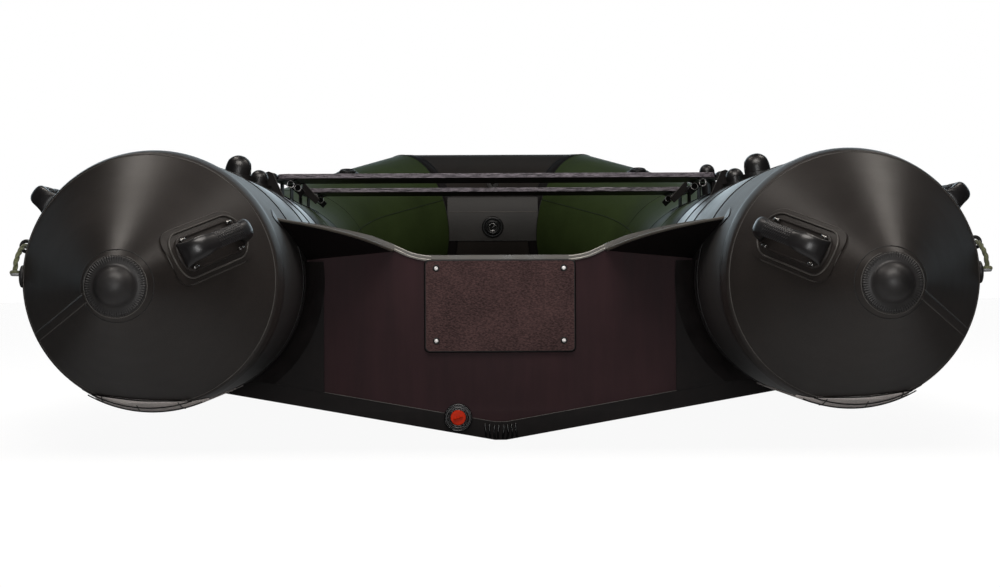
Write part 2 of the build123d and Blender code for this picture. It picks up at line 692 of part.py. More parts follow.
# Valves: one on each bow quarter, one inside the bow

def valve(plane):
    body = off_skin(disc(plane, valve_r, -base_sink, valve_h))
    lid = disc(Plane.XY, valve_cap_r, valve_h - 1, valve_h + valve_cap_h)
    lid = fillet(lid.edges().sort_by(Axis.Z)[-1], valve_round)
    return body + plane.location * lid


def bow_plane(angle):
    """Plane on the bow tube's skin. angle is 0 ahead, 90 on top and 180 astern."""
    a = radians(angle)
    out = Vector(0, cos(a), sin(a))
    return Plane(origin=Vector(0, bow_y, bow_z) + out * tube_r, x_dir=(1, 0, 0), z_dir=tuple(out))


along = oblique_way
inward = Vector(-1, 0, 0) - along * Vector(-1, 0, 0).dot(along)
inward = inward.normalized()
upward = along.cross(inward).normalized()
if upward.Z < 0:
    upward = upward * -1
tilt = radians(quarter_valve_tilt)
valve_out = (upward * cos(tilt) + inward * sin(tilt)).normalized()
valve_line = Vector(*line_corner) + (Vector(*line_bow) - Vector(*line_corner)) * quarter_valve_share
valve_origin = valve_line + valve_out * tube_r
both("bow_valve", valve(Plane(origin=valve_origin, x_dir=tuple(along), z_dir=tuple(valve_out))))
inner_valve_plane = bow_plane(180 - inner_valve_angle)
save("inner_valve", valve(inner_valve_plane))


# Carry handles: a patch on the skin and an arch over the fingers

def arch():
    """The handle in its own frame: X along it, Z away from the skin."""
    half = handle_l / 2
    gap = half - handle_foot
    top, under = handle_h, handle_h - handle_bar
    low, root = handle_heel, -handle_root
    shoulder, slope_end = top - handle_slope, half - handle_ends[1]
    outline = make_face(Polyline(
        (-half, root), (-half, low), (-half + handle_ends[0], shoulder), (-slope_end, top),
        (slope_end, top), (half - handle_ends[0], shoulder), (half, low), (half, root),
        close=True,
    ))
    inner_end = gap - handle_inner[1]
    hollow = make_face(Polyline(
        (-gap, 2 * root), (-gap, low), (-gap + handle_inner[0], under - handle_slope), (-inner_end, under),
        (inner_end, under), (gap - handle_inner[0], under - handle_slope), (gap, low), (gap, 2 * root),
        close=True,
    ))
    body = extrude(Plane.XZ * outline, amount=handle_w / 2, both=True)
    body = body - extrude(Plane.XZ * hollow, amount=handle_w, both=True)
    for side in (-1, 1):
        place = Pos(0, side * (handle_w / 2 + handle_bite_r - handle_waist), 0)
        body = body - place * extrude(Circle(handle_bite_r), amount=handle_l, both=True)
    return body


arch_blank = arch()
patch_blank = extrude(RectangleRounded(patch_l, patch_w, patch_corner), amount=patch_blank_t, both=True)


def handle(plane, inner, outer, seat):
    """A patch between two copies of the skin, and an arch standing on it."""
    skin = largest((plane.location * patch_blank) & (outer - inner))
    grip = largest(plane.location * arch_blank - seat)
    return skin, grip


patch_out = seat_gap + patch_t
grip_out = patch_out + seat_gap

# Stern handles on the cones, along the cone's side
rim_out = around(stern_handle_turn, 1, 0) - Vector(tube_x, 0, tube_z)
cone_fore = around(stern_handle_turn, seam_r, seam_y)
cone_aft = around(stern_handle_turn, ring_r, ring_y) - Vector(0, 0, cone_droop)
cone_along = (cone_fore - cone_aft).normalized()
cone_side = rim_out.cross(cone_along).normalized()
cone_out = cone_along.cross(cone_side).normalized()
if cone_out.dot(rim_out) < 0:
    cone_out = cone_out * -1
handle_at = cone_fore + (cone_aft - cone_fore) * stern_handle_share
stern_plane = Plane(origin=handle_at, x_dir=tuple(cone_along), z_dir=tuple(cone_out))
stern_patch, stern_grip = handle(stern_plane, cone(seat_gap), cone(patch_out), cone(grip_out))
both("stern_handle", stern_grip)

# Side handles, outboard on the tubes
side_plane = top_plane(side_handle_y, side_handle_turn)
side_patch, side_grip = handle(side_plane, stern_tube(seat_gap), stern_tube(patch_out), stern_tube(grip_out))
both("side_handle", side_grip)

# Bow handle, ahead of the bow and high
bow_grown = [pipe(across_path, tube_r + grow) for grow in (seat_gap, patch_out, grip_out)]
bow_patch, bow_grip = handle(bow_plane(bow_handle_angle), *bow_grown)
save("bow_handle", bow_grip)
patches = [stern_patch, side_patch]
save("handle_patches", *patches, *[other_side(p) for p in patches], bow_patch)


# Rings on the bow: one to tow by, low outside, and a small one inside

def ring_fitting(plane, base_r, mid_r, wire_r):
    seat = bow_grown[0]
    pad = disc(plane, base_r, -base_sink - 4, ring_base_h) - seat
    block = plane.location * (Pos(0, 0, 0) * Box(1.4 * mid_r, 4 * wire_r, 2 * ring_block_h)) - seat
    loop = plane.location * (Pos(0, 0, ring_base_h + mid_r) * (Rot(90, 0, 0) * Torus(mid_r, wire_r)))
    return largest(pad + block + loop)


save("tow_ring", ring_fitting(bow_plane(tow_angle), tow_base_r, ring_mid_r, ring_wire_r))
save("inner_ring", ring_fitting(bow_plane(small_angle), small_base_r, small_mid_r, small_wire_r))


# Grey patch round the bow's inner side, under the valve
patch_low_z = bow_z + tube_r * sin(radians(inner_patch_low))
patch_high_z = bow_z + tube_r * sin(radians(inner_patch_high))
patch_space = Pos(0, bow_y - tube_r, (patch_low_z + patch_high_z) / 2)
patch_space = patch_space * Box(2 * inner_patch_half, tube_r, patch_high_z - patch_low_z)
inner_patch = bow_middle(skin_r + inner_patch_t) - bow_middle(skin_r)
inner_patch = whole(inner_patch & patch_space)
valve_room = disc(inner_valve_plane, valve_r + seat_gap, -3 * base_sink, 3 * base_sink)
save("bow_inner_patch", largest(inner_patch - valve_room))

# Rub rail on the tube's widest line
rub_face = Pos(tube_x + tube_r + (rub_t - rub_root) / 2, tube_z) * RectangleRounded(rub_t + rub_root, rub_h, rub_round)
both("rub_rail", slab(rub_face, rub_aft_y, rise_arc[0].Y) - seat_side)


# Grab line through eyes on the outside of each tube, tied to a lug at each end

def line_place(y, rise, stand=line_stand):
    """A place off the tube's outer skin. rise is measured along the line's own radius."""
    a = rise / (tube_r + line_stand)
    return Vector(tube_x + (tube_r + stand) * cos(a), y, tube_z + (tube_r + stand) * sin(a))


def eye_fitting(y, rise, bored):
    skin = line_place(y, rise, 0)
    out = (line_place(y, rise, 1) - skin).normalized()
    plane = Plane(origin=skin, x_dir=(0, 1, 0), z_dir=tuple(out))
    pad = disc(plane, eye_base_r, -base_sink, eye_base_h)
    block = plane.location * Box(eye_l, eye_w, 2 * eye_h)
    fitting = pad + block - seat_side
    if bored:
        fitting = fitting - plane.location * (Pos(0, 0, line_stand) * (Rot(0, 90, 0) * Cylinder(eye_bore_r, 4 * eye_l)))
    return largest(fitting)


def lug_fitting(y, rise, top_rise):
    """The lug that the line's aft end is tied to; its top face meets the line."""
    skin = line_place(y, rise, 0)
    out = (line_place(y, rise, 1) - skin).normalized()
    plane = Plane(origin=skin, x_dir=(0, 1, 0), z_dir=tuple(out))
    half = top_rise - rise
    pad = disc(plane, eye_base_r, -base_sink, eye_base_h)
    block = plane.location * Box(eye_w, 2 * half, 2 * eye_h)
    return largest(pad + block - seat_side)


eyes = [eye_fitting(y, eye_rise, y != eye_y[-1]) for y in eye_y]
eyes.append(lug_fitting(lug_y, lug_rise, line_route[0][1]))
save("line_eyes_starboard", *eyes)
save("line_eyes_port", *[other_side(e) for e in eyes])


def cord(points, radius):
    """A cord of straight runs joined by arcs, each arc as large as its runs allow."""
    runs = [(q - p).length for p, q in zip(points, points[1:])]
    radii = []
    for i in range(1, len(points) - 1):
        into, out = points[i] - points[i - 1], points[i + 1] - points[i]
        radii.append(0.45 * min(runs[i - 1], runs[i]) / tan(radians(into.get_angle(out)) / 2))
    path = FilletPolyline(*[tuple(p) for p in points], radius=radii)
    solid = sweep(Plane(origin=path @ 0, z_dir=path % 0) * Circle(radius), path=path)
    print("cord radii", [round(r) for r in radii], "runs", round(min(runs)), round(max(runs)))
    print("cord length", round(path.length), "volume", round(solid.volume), round(path.length * 3.14159 * radius ** 2))
    return solid


line_points = [line_place(*row) for row in line_route]
tied_out = (line_place(lug_y, lug_rise, 1) - line_place(lug_y, lug_rise, 0)).normalized()
tied_up = Vector(-tied_out.Z, 0, tied_out.X)
tied_mid = line_place(lug_y, lug_rise)
for i in (0, 1):
    line_points[i] = tied_mid + tied_up * (line_route[i][1] - lug_rise)
line_points[-1] = Vector(line_points[-2].X, eye_y[-1] - eye_l / 2, line_points[-2].Z)
both("grab_line", cord(line_points, line_r))

print(len(written), "nodes")
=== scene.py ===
# %% [markdown]
# # An inflatable motor boat
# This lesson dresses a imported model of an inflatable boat. The model has plain solids that are exactly
# in place. Here they get their finishes, and small pieces that a maker adds last: seam tapes, rivets,
# rope, moulded caps and edge trim. All lengths are in metres: +Y is the bow, +X starboard and +Z up.
# The origin lies on the waterline, in the middle plane, at the transom's aft face.

from math import atan2, copysign, cos, pi, radians, sin, sqrt, tan

import bmesh
import bpy
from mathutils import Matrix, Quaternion, Vector


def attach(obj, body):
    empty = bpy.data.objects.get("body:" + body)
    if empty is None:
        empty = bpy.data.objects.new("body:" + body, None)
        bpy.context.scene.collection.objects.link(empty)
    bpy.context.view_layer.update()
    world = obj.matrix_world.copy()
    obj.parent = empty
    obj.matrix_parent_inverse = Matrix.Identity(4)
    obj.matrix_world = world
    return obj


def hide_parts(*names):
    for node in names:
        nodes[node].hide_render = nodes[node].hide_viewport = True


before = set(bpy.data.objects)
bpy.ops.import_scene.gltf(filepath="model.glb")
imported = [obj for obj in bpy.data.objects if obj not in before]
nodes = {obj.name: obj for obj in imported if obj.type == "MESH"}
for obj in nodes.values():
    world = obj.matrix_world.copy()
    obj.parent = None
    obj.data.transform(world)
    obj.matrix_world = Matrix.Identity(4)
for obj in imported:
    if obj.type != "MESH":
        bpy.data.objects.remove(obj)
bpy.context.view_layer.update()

# %% [markdown]
# The photograph was taken level, straight from astern, with a long lens. A camera in Blender can be set
# by eye, but here its place was worked out from the two round cone caps, which are as far apart as the
# tubes are: that gives the distance, and their heights in the picture give the camera's slight roll.

# %% Camera
PHOTO_W = 1000
FOCAL_PIXELS = 1740.0
SENSOR = 36.0
CAMERA_PLACE, LOOKING_AT = Vector((-0.038, -3.70, 0.264)), Vector((0.0, 0.0, 0.250))
CAMERA_ROLL = radians(-0.27)
camera_data = bpy.data.cameras.new("camera")
camera_data.sensor_width = SENSOR
camera_data.lens = FOCAL_PIXELS / PHOTO_W * SENSOR
camera = bpy.data.objects.new("camera", camera_data)
bpy.context.scene.collection.objects.link(camera)
camera.location = CAMERA_PLACE
looking = (LOOKING_AT - camera.location).to_track_quat("-Z", "Y")
camera.rotation_euler = (looking @ Quaternion((0, 0, 1), CAMERA_ROLL)).to_euler()
bpy.context.scene.camera = camera
bpy.context.scene.view_settings.view_transform = "Standard"
print("camera", tuple(round(v, 3) for v in camera.location), "lens", round(camera_data.lens, 1), "mm")

# %% [markdown]
# A shader is a small tree of nodes. A few helpers keep each tree short: one makes a material with its
# Principled shader, one adds a node and sets its values, and one reads a colour as a painter names it,
# in the 0 to 255 steps of a screen, and turns it into the linear light that Blender works in.

# %% Helpers for materials
WHITE = (1.0, 1.0, 1.0, 1.0)


def screen_colour(rgb, share=1.0):
    """The colour in linear light, made darker or lighter by a share."""
    def linear(v):
        v = v / 255
        return v / 12.92 if v <= 0.04045 else ((v + 0.055) / 1.055) ** 2.4
    return tuple(linear(v) * share for v in rgb) + (1.0,)


def give(node, **inputs):
    """Sets sockets by name, each to a value or to a link. S_0 stands for the first one, by number."""
    for key, value in inputs.items():
        socket = node.inputs[int(key[2:]) if key.startswith("S_") else key.replace("_", " ")]
        if isinstance(value, bpy.types.NodeSocket):
            node.id_data.links.new(value, socket)
        else:
            socket.default_value = value


def source(tree, kind):
    """A node that takes nothing in; its outputs are where a tree begins."""
    return tree.nodes.new("ShaderNode" + kind).outputs


def add(kind, **choices):
    """Adds a node to the tree its links come from. Names in small letters are options, not sockets."""
    tree = next(value.id_data for value in choices.values() if isinstance(value, bpy.types.NodeSocket))
    node = tree.nodes.new("ShaderNode" + kind)
    for key in [key for key in choices if key.islower()]:
        setattr(node, key, choices.pop(key))
    give(node, **choices)
    return node


def new_material(name):
    """A material, its shader, and the place in the boat that each point of it has."""
    material = bpy.data.materials.new(name)
    material.use_nodes = True
    tree = material.node_tree
    return material, tree.nodes["Principled BSDF"], source(tree, "TexCoord")["Object"]


def mixed(factor, a, b):
    """A colour between a and b."""
    return add("Mix", data_type="RGBA", S_0=factor, S_6=a, S_7=b).outputs[2]


def stepped(value, low, high, to_low=0.0, to_high=1.0):
    """A value read on another scale, and held inside it."""
    return add("MapRange", Value=value, From_Min=low, From_Max=high, To_Min=to_low,
               To_Max=to_high).outputs["Result"]


def maths(operation, a, b=0.0):
    return add("Math", operation=operation, S_0=a, S_1=b).outputs[0]


def weighed(a, b, share):
    """Two values added, a by its share and b by the rest."""
    return maths("ADD", maths("MULTIPLY", a, share), maths("MULTIPLY", b, 1 - share))


def noise(where, scale, detail, roughness=0.5):
    return add("TexNoise", Vector=where, Scale=scale, Detail=detail, Roughness=roughness).outputs["Fac"]


def stretched(where, scale):
    return add("Mapping", Vector=where, Scale=scale).outputs[0]


def bump(height, strength, distance, **under):
    return add("Bump", Height=height, Strength=strength, Distance=distance, **under).outputs["Normal"]


print("material helpers ready")

# %% [markdown]
# The tubes' skin is woven polyester with a coat of PVC on both sides. From afar it is satin and even;
# close up it has a fine grain, small soft hollows where the weave shows through, and a little dust.
# One recipe serves every colour of it. The bump is in true size: the grain is about a millimetre wide.
# The black stern tubes are polished forward and scuffed duller astern, where they are dragged.

# %% Coated fabric
SCUFFED_FROM, SCUFFED_TO = -0.20, 0.22
DARK_CLOUD, LIGHT_CLOUD = 0.76, 1.24


def coated_fabric(name, colour, roughness, specular=0.34, scuffed=0.0):
    material, skin, where = new_material(name)
    cloudy = noise(where, 3.5, 4.0, 0.6)
    fine = noise(where, 420.0, 3.0, 0.7)
    cells = add("TexVoronoi", feature="SMOOTH_F1", Vector=where, Scale=760.0, Smoothness=0.6)
    cloud = mixed(stepped(cloudy, 0.3, 0.7), screen_colour(colour, DARK_CLOUD),
                  screen_colour(colour, LIGHT_CLOUD))
    speck = stepped(fine, 0.35, 0.65, 0.8, 1.15)
    rough = stepped(cloudy, 0.3, 0.7, roughness - 0.04, roughness + 0.05)
    if scuffed:
        astern = add("SeparateXYZ", Vector=where).outputs["Y"]
        rough = maths("ADD", rough, stepped(astern, SCUFFED_FROM, SCUFFED_TO, scuffed, 0.0))
    hollows = bump(noise(where, 9.0, 2.0), 0.35, 0.004)
    weave = maths("ADD", cells.outputs["Distance"], fine)
    give(skin, Base_Color=add("VectorMath", operation="MULTIPLY", S_0=cloud, S_1=speck).outputs[0],
         Roughness=rough, Specular_IOR_Level=specular, Normal=bump(weave, 0.10, 0.0006, Normal=hollows))
    return material


pvc_black = coated_fabric("pvc_black", (39, 35, 33), 0.42)
pvc_tube = coated_fabric("pvc_tube", (38, 36, 35), 0.32, specular=0.85, scuffed=0.24)
pvc_bow = coated_fabric("pvc_bow", (44, 40, 37), 0.55, specular=0.10)
# This darker black is painted shade on the gussets' undersides, and the dark of the seam tapes.
pvc_dark_and_painted_shade = coated_fabric("pvc_dark_and_painted_shade", (25, 22, 22), 0.55, specular=0.12)
pvc_green = coated_fabric("pvc_green", (53, 66, 33), 0.55, specular=0.10)
pvc_grey = coated_fabric("pvc_grey", (60, 58, 56), 0.50)
pvc_floor = coated_fabric("pvc_floor", (42, 42, 41), 0.55)
pvc_strip = coated_fabric("pvc_strip", (194, 187, 184), 0.50)
print("coated fabric in 8 finishes")

# %% [markdown]
# Fittings are moulded. Rubber is blacker and duller than the skin, hard plastic a little glossier.
# Both keep a fine sparkle of the mould's surface, and dust that lies in their hollows.

# %% Moulded rubber and plastic
def moulded(name, colour, roughness, strength=0.25, specular=0.4):
    material, skin, where = new_material(name)
    dust = noise(where, 22.0, 5.0)
    pebbles = add("TexVoronoi", Vector=where, Scale=600.0).outputs["Distance"]
    give(skin, Base_Color=mixed(stepped(dust, 0.3, 0.7), screen_colour(colour, 0.75),
                                screen_colour(colour, 1.3)),
         Roughness=stepped(dust, 0.3, 0.7, roughness - 0.06, roughness + 0.06),
         Specular_IOR_Level=specular, Normal=bump(pebbles, strength, 0.0004))
    return material


rubber = moulded("rubber", (30, 29, 29), 0.42)
dull_rubber = moulded("dull_rubber", (28, 25, 25), 0.55, specular=0.12)
glossy_rubber = moulded("glossy_rubber", (22, 20, 21), 0.37, strength=0.02, specular=0.8)
drain_rubber = moulded("drain_rubber", (14, 13, 13), 0.16, strength=0.02, specular=0.8)
cap_rubber = moulded("cap_rubber", (34, 32, 32), 0.50, strength=0.15, specular=0.6)
valve_plastic = moulded("valve_plastic", (27, 27, 27), 0.35)
channel_plastic = moulded("channel_plastic", (30, 30, 32), 0.38)
orange_plastic = moulded("orange_plastic", (205, 44, 6), 0.42, strength=0.1, specular=0.10)
edge_rubber = moulded("edge_rubber", (84, 80, 74), 0.32, strength=0.12)
print("moulded finishes ready")

# %% [markdown]
# The transom is plywood under a dark film. The film follows the wood below it, so the grain runs up the
# board as faint streaks. The motor plate is pebbled plastic screwed over it. A bench is the same sort of
# ply, and its bare edge shows the plies as thin lighter lines, streaked where the filler is.

# %% Boards
UP_THE_BOARD, ALONG_THE_EDGE, ACROSS_THE_PLATE = (1.0, 1.0, 0.12), (0.12, 1.0, 1.0), (0.45, 1.0, 1.0)
PLY_T = 0.0015


def film_board(name, dark, light):
    material, skin, where = new_material(name)
    grain_way = stretched(where, UP_THE_BOARD)
    streaks = noise(grain_way, 14.0, 7.0, 0.65)
    tone = weighed(streaks, noise(where, 5.0, 3.0), 0.6)
    board = mixed(stepped(tone, 0.36, 0.64), screen_colour(dark), screen_colour(light))
    give(skin, Base_Color=board,
         Roughness=stepped(streaks, 0.3, 0.7, 0.45, 0.58), Specular_IOR_Level=0.10,
         Normal=bump(noise(grain_way, 160.0, 2.0), 0.18, 0.0006))
    return material


def bench_ply(name):
    """Dark film on both faces; on the edge, thin plies with streaks along them."""
    material, skin, where = new_material(name)
    plies = maths("PINGPONG", add("SeparateXYZ", Vector=where).outputs["Z"], PLY_T)
    specks = noise(stretched(where, ALONG_THE_EDGE), 260.0, 4.0, 0.8)
    streak = maths("MULTIPLY", stepped(plies, 0.0003, 0.0012), stepped(specks, 0.40, 0.66))
    edge = mixed(streak, screen_colour((54, 48, 54)), screen_colour((208, 197, 208)))
    facing = source(skin.id_data, "NewGeometry")["Normal"]
    up = maths("ABSOLUTE", add("SeparateXYZ", Vector=facing).outputs["Z"])
    clouds = stepped(noise(where, 8.0, 6.0, 0.7), 0.3, 0.7)
    film = mixed(clouds, screen_colour((40, 34, 36)), screen_colour((62, 54, 55)))
    give(skin, Base_Color=mixed(stepped(up, 0.5, 0.8), edge, film), Roughness=0.42,
         Specular_IOR_Level=0.35, Normal=bump(specks, 0.2, 0.0005))
    return material


def pebbled_plate(name, dark, light):
    """Moulded plate: fine raised pebbles, lighter where they stand highest."""
    material, skin, where = new_material(name)
    pebbles = noise(stretched(where, ACROSS_THE_PLATE), 420.0, 3.0, 0.7)
    tone = weighed(pebbles, noise(where, 12.0, 4.0), 0.74)
    toned = mixed(stepped(tone, 0.38, 0.62), screen_colour(dark), screen_colour(light))
    give(skin, Base_Color=toned,
         Roughness=0.5, Specular_IOR_Level=0.16, Normal=bump(pebbles, 0.8, 0.0012))
    return material


transom_ply = film_board("transom_ply", (42, 26, 29), (56, 37, 40))
bench_film = bench_ply("bench_film")
plate_brown = pebbled_plate("plate_brown", (40, 25, 26), (86, 62, 61))
print("boards ready")

# %% [markdown]
# Bare metal needs little more than its own gloss: a bright base, some roughness, and fine scratches.
# The rope is spun from olive yarn, with each yarn a slightly different green.

# %% Metal and rope
def brushed_metal(name, colour, roughness):
    material, skin, where = new_material(name)
    scratches = noise(where, 300.0, 3.0)
    give(skin, Roughness=stepped(scratches, 0.3, 0.7, roughness - 0.08, roughness + 0.1),
         Base_Color=mixed(stepped(scratches, 0.35, 0.65), screen_colour(colour, 0.85),
                          screen_colour(colour)), Metallic=1.0)
    return material


def spun_rope(name, dark, light):
    material, skin, where = new_material(name)
    yarns = noise(where, 900.0, 3.0)
    tone = weighed(yarns, noise(where, 60.0, 2.0), 0.6)
    toned = mixed(stepped(tone, 0.38, 0.62), screen_colour(dark), screen_colour(light))
    give(skin, Base_Color=toned,
         Roughness=0.75, Sheen_Weight=0.3, Normal=bump(yarns, 0.5, 0.0006))
    return material


steel = brushed_metal("steel", (205, 203, 200), 0.25)
rope_yarn = spun_rope("rope_yarn", (58, 62, 40), (104, 108, 74))
print("metal and rope ready")

# %% [markdown]
# Each solid of the boat gets its finish by the start of its name. Where two starts fit, the longer one
# counts.

# %% Finishes on the solids
FINISHES = (
    (pvc_black, "stern_cone handle_patches"), (pvc_tube, "stern_tube"), (pvc_bow, "bow_center"),
    (pvc_dark_and_painted_shade, "transom_gusset bow_bottom bench_rail"), (pvc_green, "side_tube bow_quarter"),
    (pvc_grey, "bow_inner_patch"), (pvc_floor, "air_floor keel_strip"), (pvc_strip, "wear_strips"),
    (rubber, "cone_caps stern_handle side_handle bow_handle rub_rail line_eyes tow_ring inner_ring"),
    (dull_rubber, "transom_band transom_holder"), (glossy_rubber, "oarlock accessory_mount rod_fitting"),
    (valve_plastic, "bow_valve inner_valve drain_valve"), (transom_ply, "transom_board"),
    (bench_film, "bench_aft_board bench_fore_board"), (edge_rubber, "transom_trim"),
    (channel_plastic, "bench_aft_channels bench_fore_channels"), (plate_brown, "motor_plate"),
    (orange_plastic, "drain_plug"), (rope_yarn, "grab_line"),
)
finish_of = {word: material for material, words in FINISHES for word in words.split()}
for name, solid in nodes.items():
    word = max((key for key in finish_of if name.startswith(key)), key=len)
    solid.data.materials.clear()
    solid.data.materials.append(finish_of[word])
print(len(nodes), "solids painted")

# %% [markdown]
# The floor lies at the waterline, as it does under every boat in this lesson, so part of the hull is
# below it. A pale floor would hide that part, so the camera looks through it near the hull, and there it
# only dims what is behind it a little, like the shade beside a hull. Farther out it is a pale surface
# that takes the boat's shadow. The gloss of the black skin would turn grey over so much white, so a
# glossy ray sees it dark, with only a faint sheen beside the hull.

# %% Floor at the waterline
FLOOR_HALF = 30.0
FLOOR_SEEN = (0.96, 0.96, 0.96, 1.0)
FLOOR_GLOW = 0.55
FLOOR_BOUNCE = (0.85, 0.85, 0.85, 1.0)
FLOOR_IN_GLOSS = (0.08, 0.08, 0.082, 1.0)
FLOOR_SHEEN = 0.22
FLOOR_SHADE = (0.94, 0.94, 0.94, 1.0)
HULL_HALF_W, HULL_HALF_L, HULL_MIDDLE_Y = 0.62, 1.75, 1.0
NEAR_FROM, NEAR_TO = 0.10, 0.45
floor_mesh = bpy.data.meshes.new("floor")
corners = [(x * FLOOR_HALF, y * FLOOR_HALF, 0) for x, y in ((-1, -1), (1, -1), (1, 1), (-1, 1))]
floor_mesh.from_pydata(corners, [], [(0, 1, 2, 3)])
floor = bpy.data.objects.new("floor", floor_mesh)
bpy.context.scene.collection.objects.link(floor)


def floor_finish():
    material, pale, where = new_material("floor")
    parts = add("SeparateXYZ", Vector=where)
    off_middle = maths("ABSOLUTE", parts.outputs["X"])
    across = maths("MAXIMUM", maths("SUBTRACT", off_middle, HULL_HALF_W), 0.0)
    along = maths("ABSOLUTE", maths("SUBTRACT", parts.outputs["Y"], HULL_MIDDLE_Y))
    along = maths("MAXIMUM", maths("SUBTRACT", along, HULL_HALF_L), 0.0)
    away = maths("SQRT", maths("ADD", maths("MULTIPLY", across, across), maths("MULTIPLY", along, along)))
    near = stepped(away, NEAR_FROM, NEAR_TO, 1.0, 0.0)
    inside = maths("ABSOLUTE", maths("SUBTRACT", parts.outputs["Y"], 1.1))
    well = maths("MAXIMUM", stepped(off_middle, 0.40, 0.55), stepped(inside, 1.35, 1.6))
    rays = source(pale.id_data, "LightPath")
    seen, glossy = rays["Is Camera Ray"], rays["Is Glossy Ray"]
    tone = mixed(glossy, FLOOR_BOUNCE, FLOOR_IN_GLOSS)
    sheen = maths("MULTIPLY", glossy, maths("MULTIPLY", near, FLOOR_SHEEN))
    glow = maths("ADD", maths("MULTIPLY", seen, FLOOR_GLOW), sheen)
    give(pale, Base_Color=mixed(seen, tone, FLOOR_SEEN), Roughness=0.9, Specular_IOR_Level=0.0,
         Emission_Color=WHITE, Emission_Strength=glow)
    see_through = maths("SUBTRACT", 1.0, maths("MULTIPLY", seen, stepped(near, 0.0, 1.0, 0.88, 1.0)))
    clear = add("BsdfTransparent", Color=mixed(near, WHITE, FLOOR_SHADE))
    share = maths("MULTIPLY", see_through, well)
    mix = add("MixShader", Fac=share, S_1=clear.outputs[0], S_2=pale.outputs[0])
    give(pale.id_data.nodes["Material Output"], Surface=mix.outputs[0])
    return material


floor_mesh.materials.append(floor_finish())
print("floor at height", 0)

# %% [markdown]
# The light is that of a photographer's tent: white all round to a lens, and dimmer as light on the boat.
# A glossy ray sees only a low cool backdrop ahead of the bow. Two small warm lamps hang high ahead, a wide
# one above the stern, one stands behind the camera, and a faint cool one lights the bow.

# %% Light
BACKDROP, BACKDROP_AROUND, AMBIENT = 2.6, 0.02, 0.22
COOL, WARM = (0.76, 0.91, 1.0, 1.0), (1.0, 0.93, 0.86)
world = bpy.data.worlds.new("studio")
bpy.context.scene.world = world
world.use_nodes = True
sky = world.node_tree
sky.nodes.clear()
rays = source(sky, "LightPath")
ray_way = add("SeparateXYZ", Vector=source(sky, "TexCoord")["Generated"]).outputs
ahead = stepped(ray_way["Y"], 0.72, 0.97)
level = maths("MULTIPLY", stepped(ray_way["Z"], 0.26, 0.46, 1.0, 0.0),
              stepped(ray_way["Z"], -0.04, 0.04))
backdrop = maths("MULTIPLY", maths("MULTIPLY", ahead, level), BACKDROP)
backdrop = maths("ADD", BACKDROP_AROUND, backdrop)
seen = maths("MAXIMUM", rays["Is Camera Ray"], rays["Is Transmission Ray"])
seen = maths("MAXIMUM", seen, maths("MULTIPLY", rays["Is Glossy Ray"], backdrop))
dim = maths("MULTIPLY", maths("SUBTRACT", 1.0, rays["Is Glossy Ray"]), AMBIENT)
tone = mixed(rays["Is Glossy Ray"], WHITE, COOL)
white = add("Background", Color=tone, Strength=maths("MAXIMUM", seen, dim))
add("OutputWorld", Surface=white.outputs[0])


def soft_lamp(name, place, target, size, watts, colour=(1.0, 1.0, 1.0)):
    data = bpy.data.lights.new(name, "AREA")
    data.shape = "RECTANGLE"
    data.size, data.size_y = size
    data.energy = watts
    data.color = colour
    lamp = bpy.data.objects.new(name, data)
    bpy.context.scene.collection.objects.link(lamp)
    lamp.location = place
    lamp.rotation_euler = (Vector(target) - Vector(place)).to_track_quat("-Z", "Y").to_euler()


for lamp_name, lamp_x in (("lamp_left", -1.35), ("lamp_right", 1.85)):
    soft_lamp(lamp_name, (lamp_x, 1.0, 3.3), (0.4 * lamp_x, -0.5, 0.3), (0.70, 1.0), 13.5, WARM)
soft_lamp("lamp_aft", (0.0, -1.8, 3.0), (0.0, 0.0, 0.3), (2.2, 1.4), 62.0, (1.0, 0.95, 0.90))
soft_lamp("lamp_behind_camera", (0.0, -4.6, 0.40), (0.0, 0.0, 0.25), (1.6, 1.2), 42.0)
soft_lamp("lamp_bow", (0.0, 3.4, 2.6), (0.0, 1.2, 0.3), (2.0, 0.8), 5.0, (0.80, 0.92, 1.0))
print("5 lamps and a white world")

# %% [markdown]
# A grab line runs outside each tube, through eyes and tied at both ends. It is a real rope of fixed
# length, so its route is set first, as points along the tube's skin, and a smooth curve is drawn through
# their neighbourhood. The rope's three strands then twist round that curve.

# %% Route of the grab lines
TUBE_X, TUBE_Z, TUBE_R = 0.648, 0.279, 0.242
LINE_STAND, LINE_R, LINE_LENGTH = 0.0115, 0.005, 1.979
LUG = (-0.474, 0.009)
line_route = [
    # place along the boat, rise round the tube
    (-0.474, 0.019), (-0.474, 0.035), (-0.468, 0.0495), (-0.457, 0.0605), (-0.442, 0.0665), (-0.410, 0.066),
    (-0.346, 0.046), (-0.240, 0.029), (-0.126, 0.028), (-0.017, 0.045), (0.046, 0.066), (0.074, 0.066),
    (0.136, 0.044), (0.243, 0.027), (0.357, 0.026), (0.466, 0.045), (0.526, 0.066), (0.554, 0.066),
    (0.618, 0.045), (0.724, 0.030), (0.838, 0.029), (0.945, 0.047), (1.006, 0.066), (1.034, 0.066),
    (1.092, 0.047), (1.186, 0.033), (1.290, 0.033), (1.376, 0.048), (1.420, 0.0655), (1.442, 0.066),
]


def mirrored(p, side):
    """The point as it is to starboard, where side is 1, or its twin to port, where side is -1."""
    return Vector((p.x * side, p.y, p.z))


def length_of(places):
    return sum((b - a).length for a, b in zip(places, places[1:]))


def line_place(y, rise):
    """A point off the starboard tube's skin; rise is measured round the tube from its widest line."""
    r = TUBE_R + LINE_STAND
    return Vector((TUBE_X + r * cos(rise / r), y, TUBE_Z + r * sin(rise / r)))


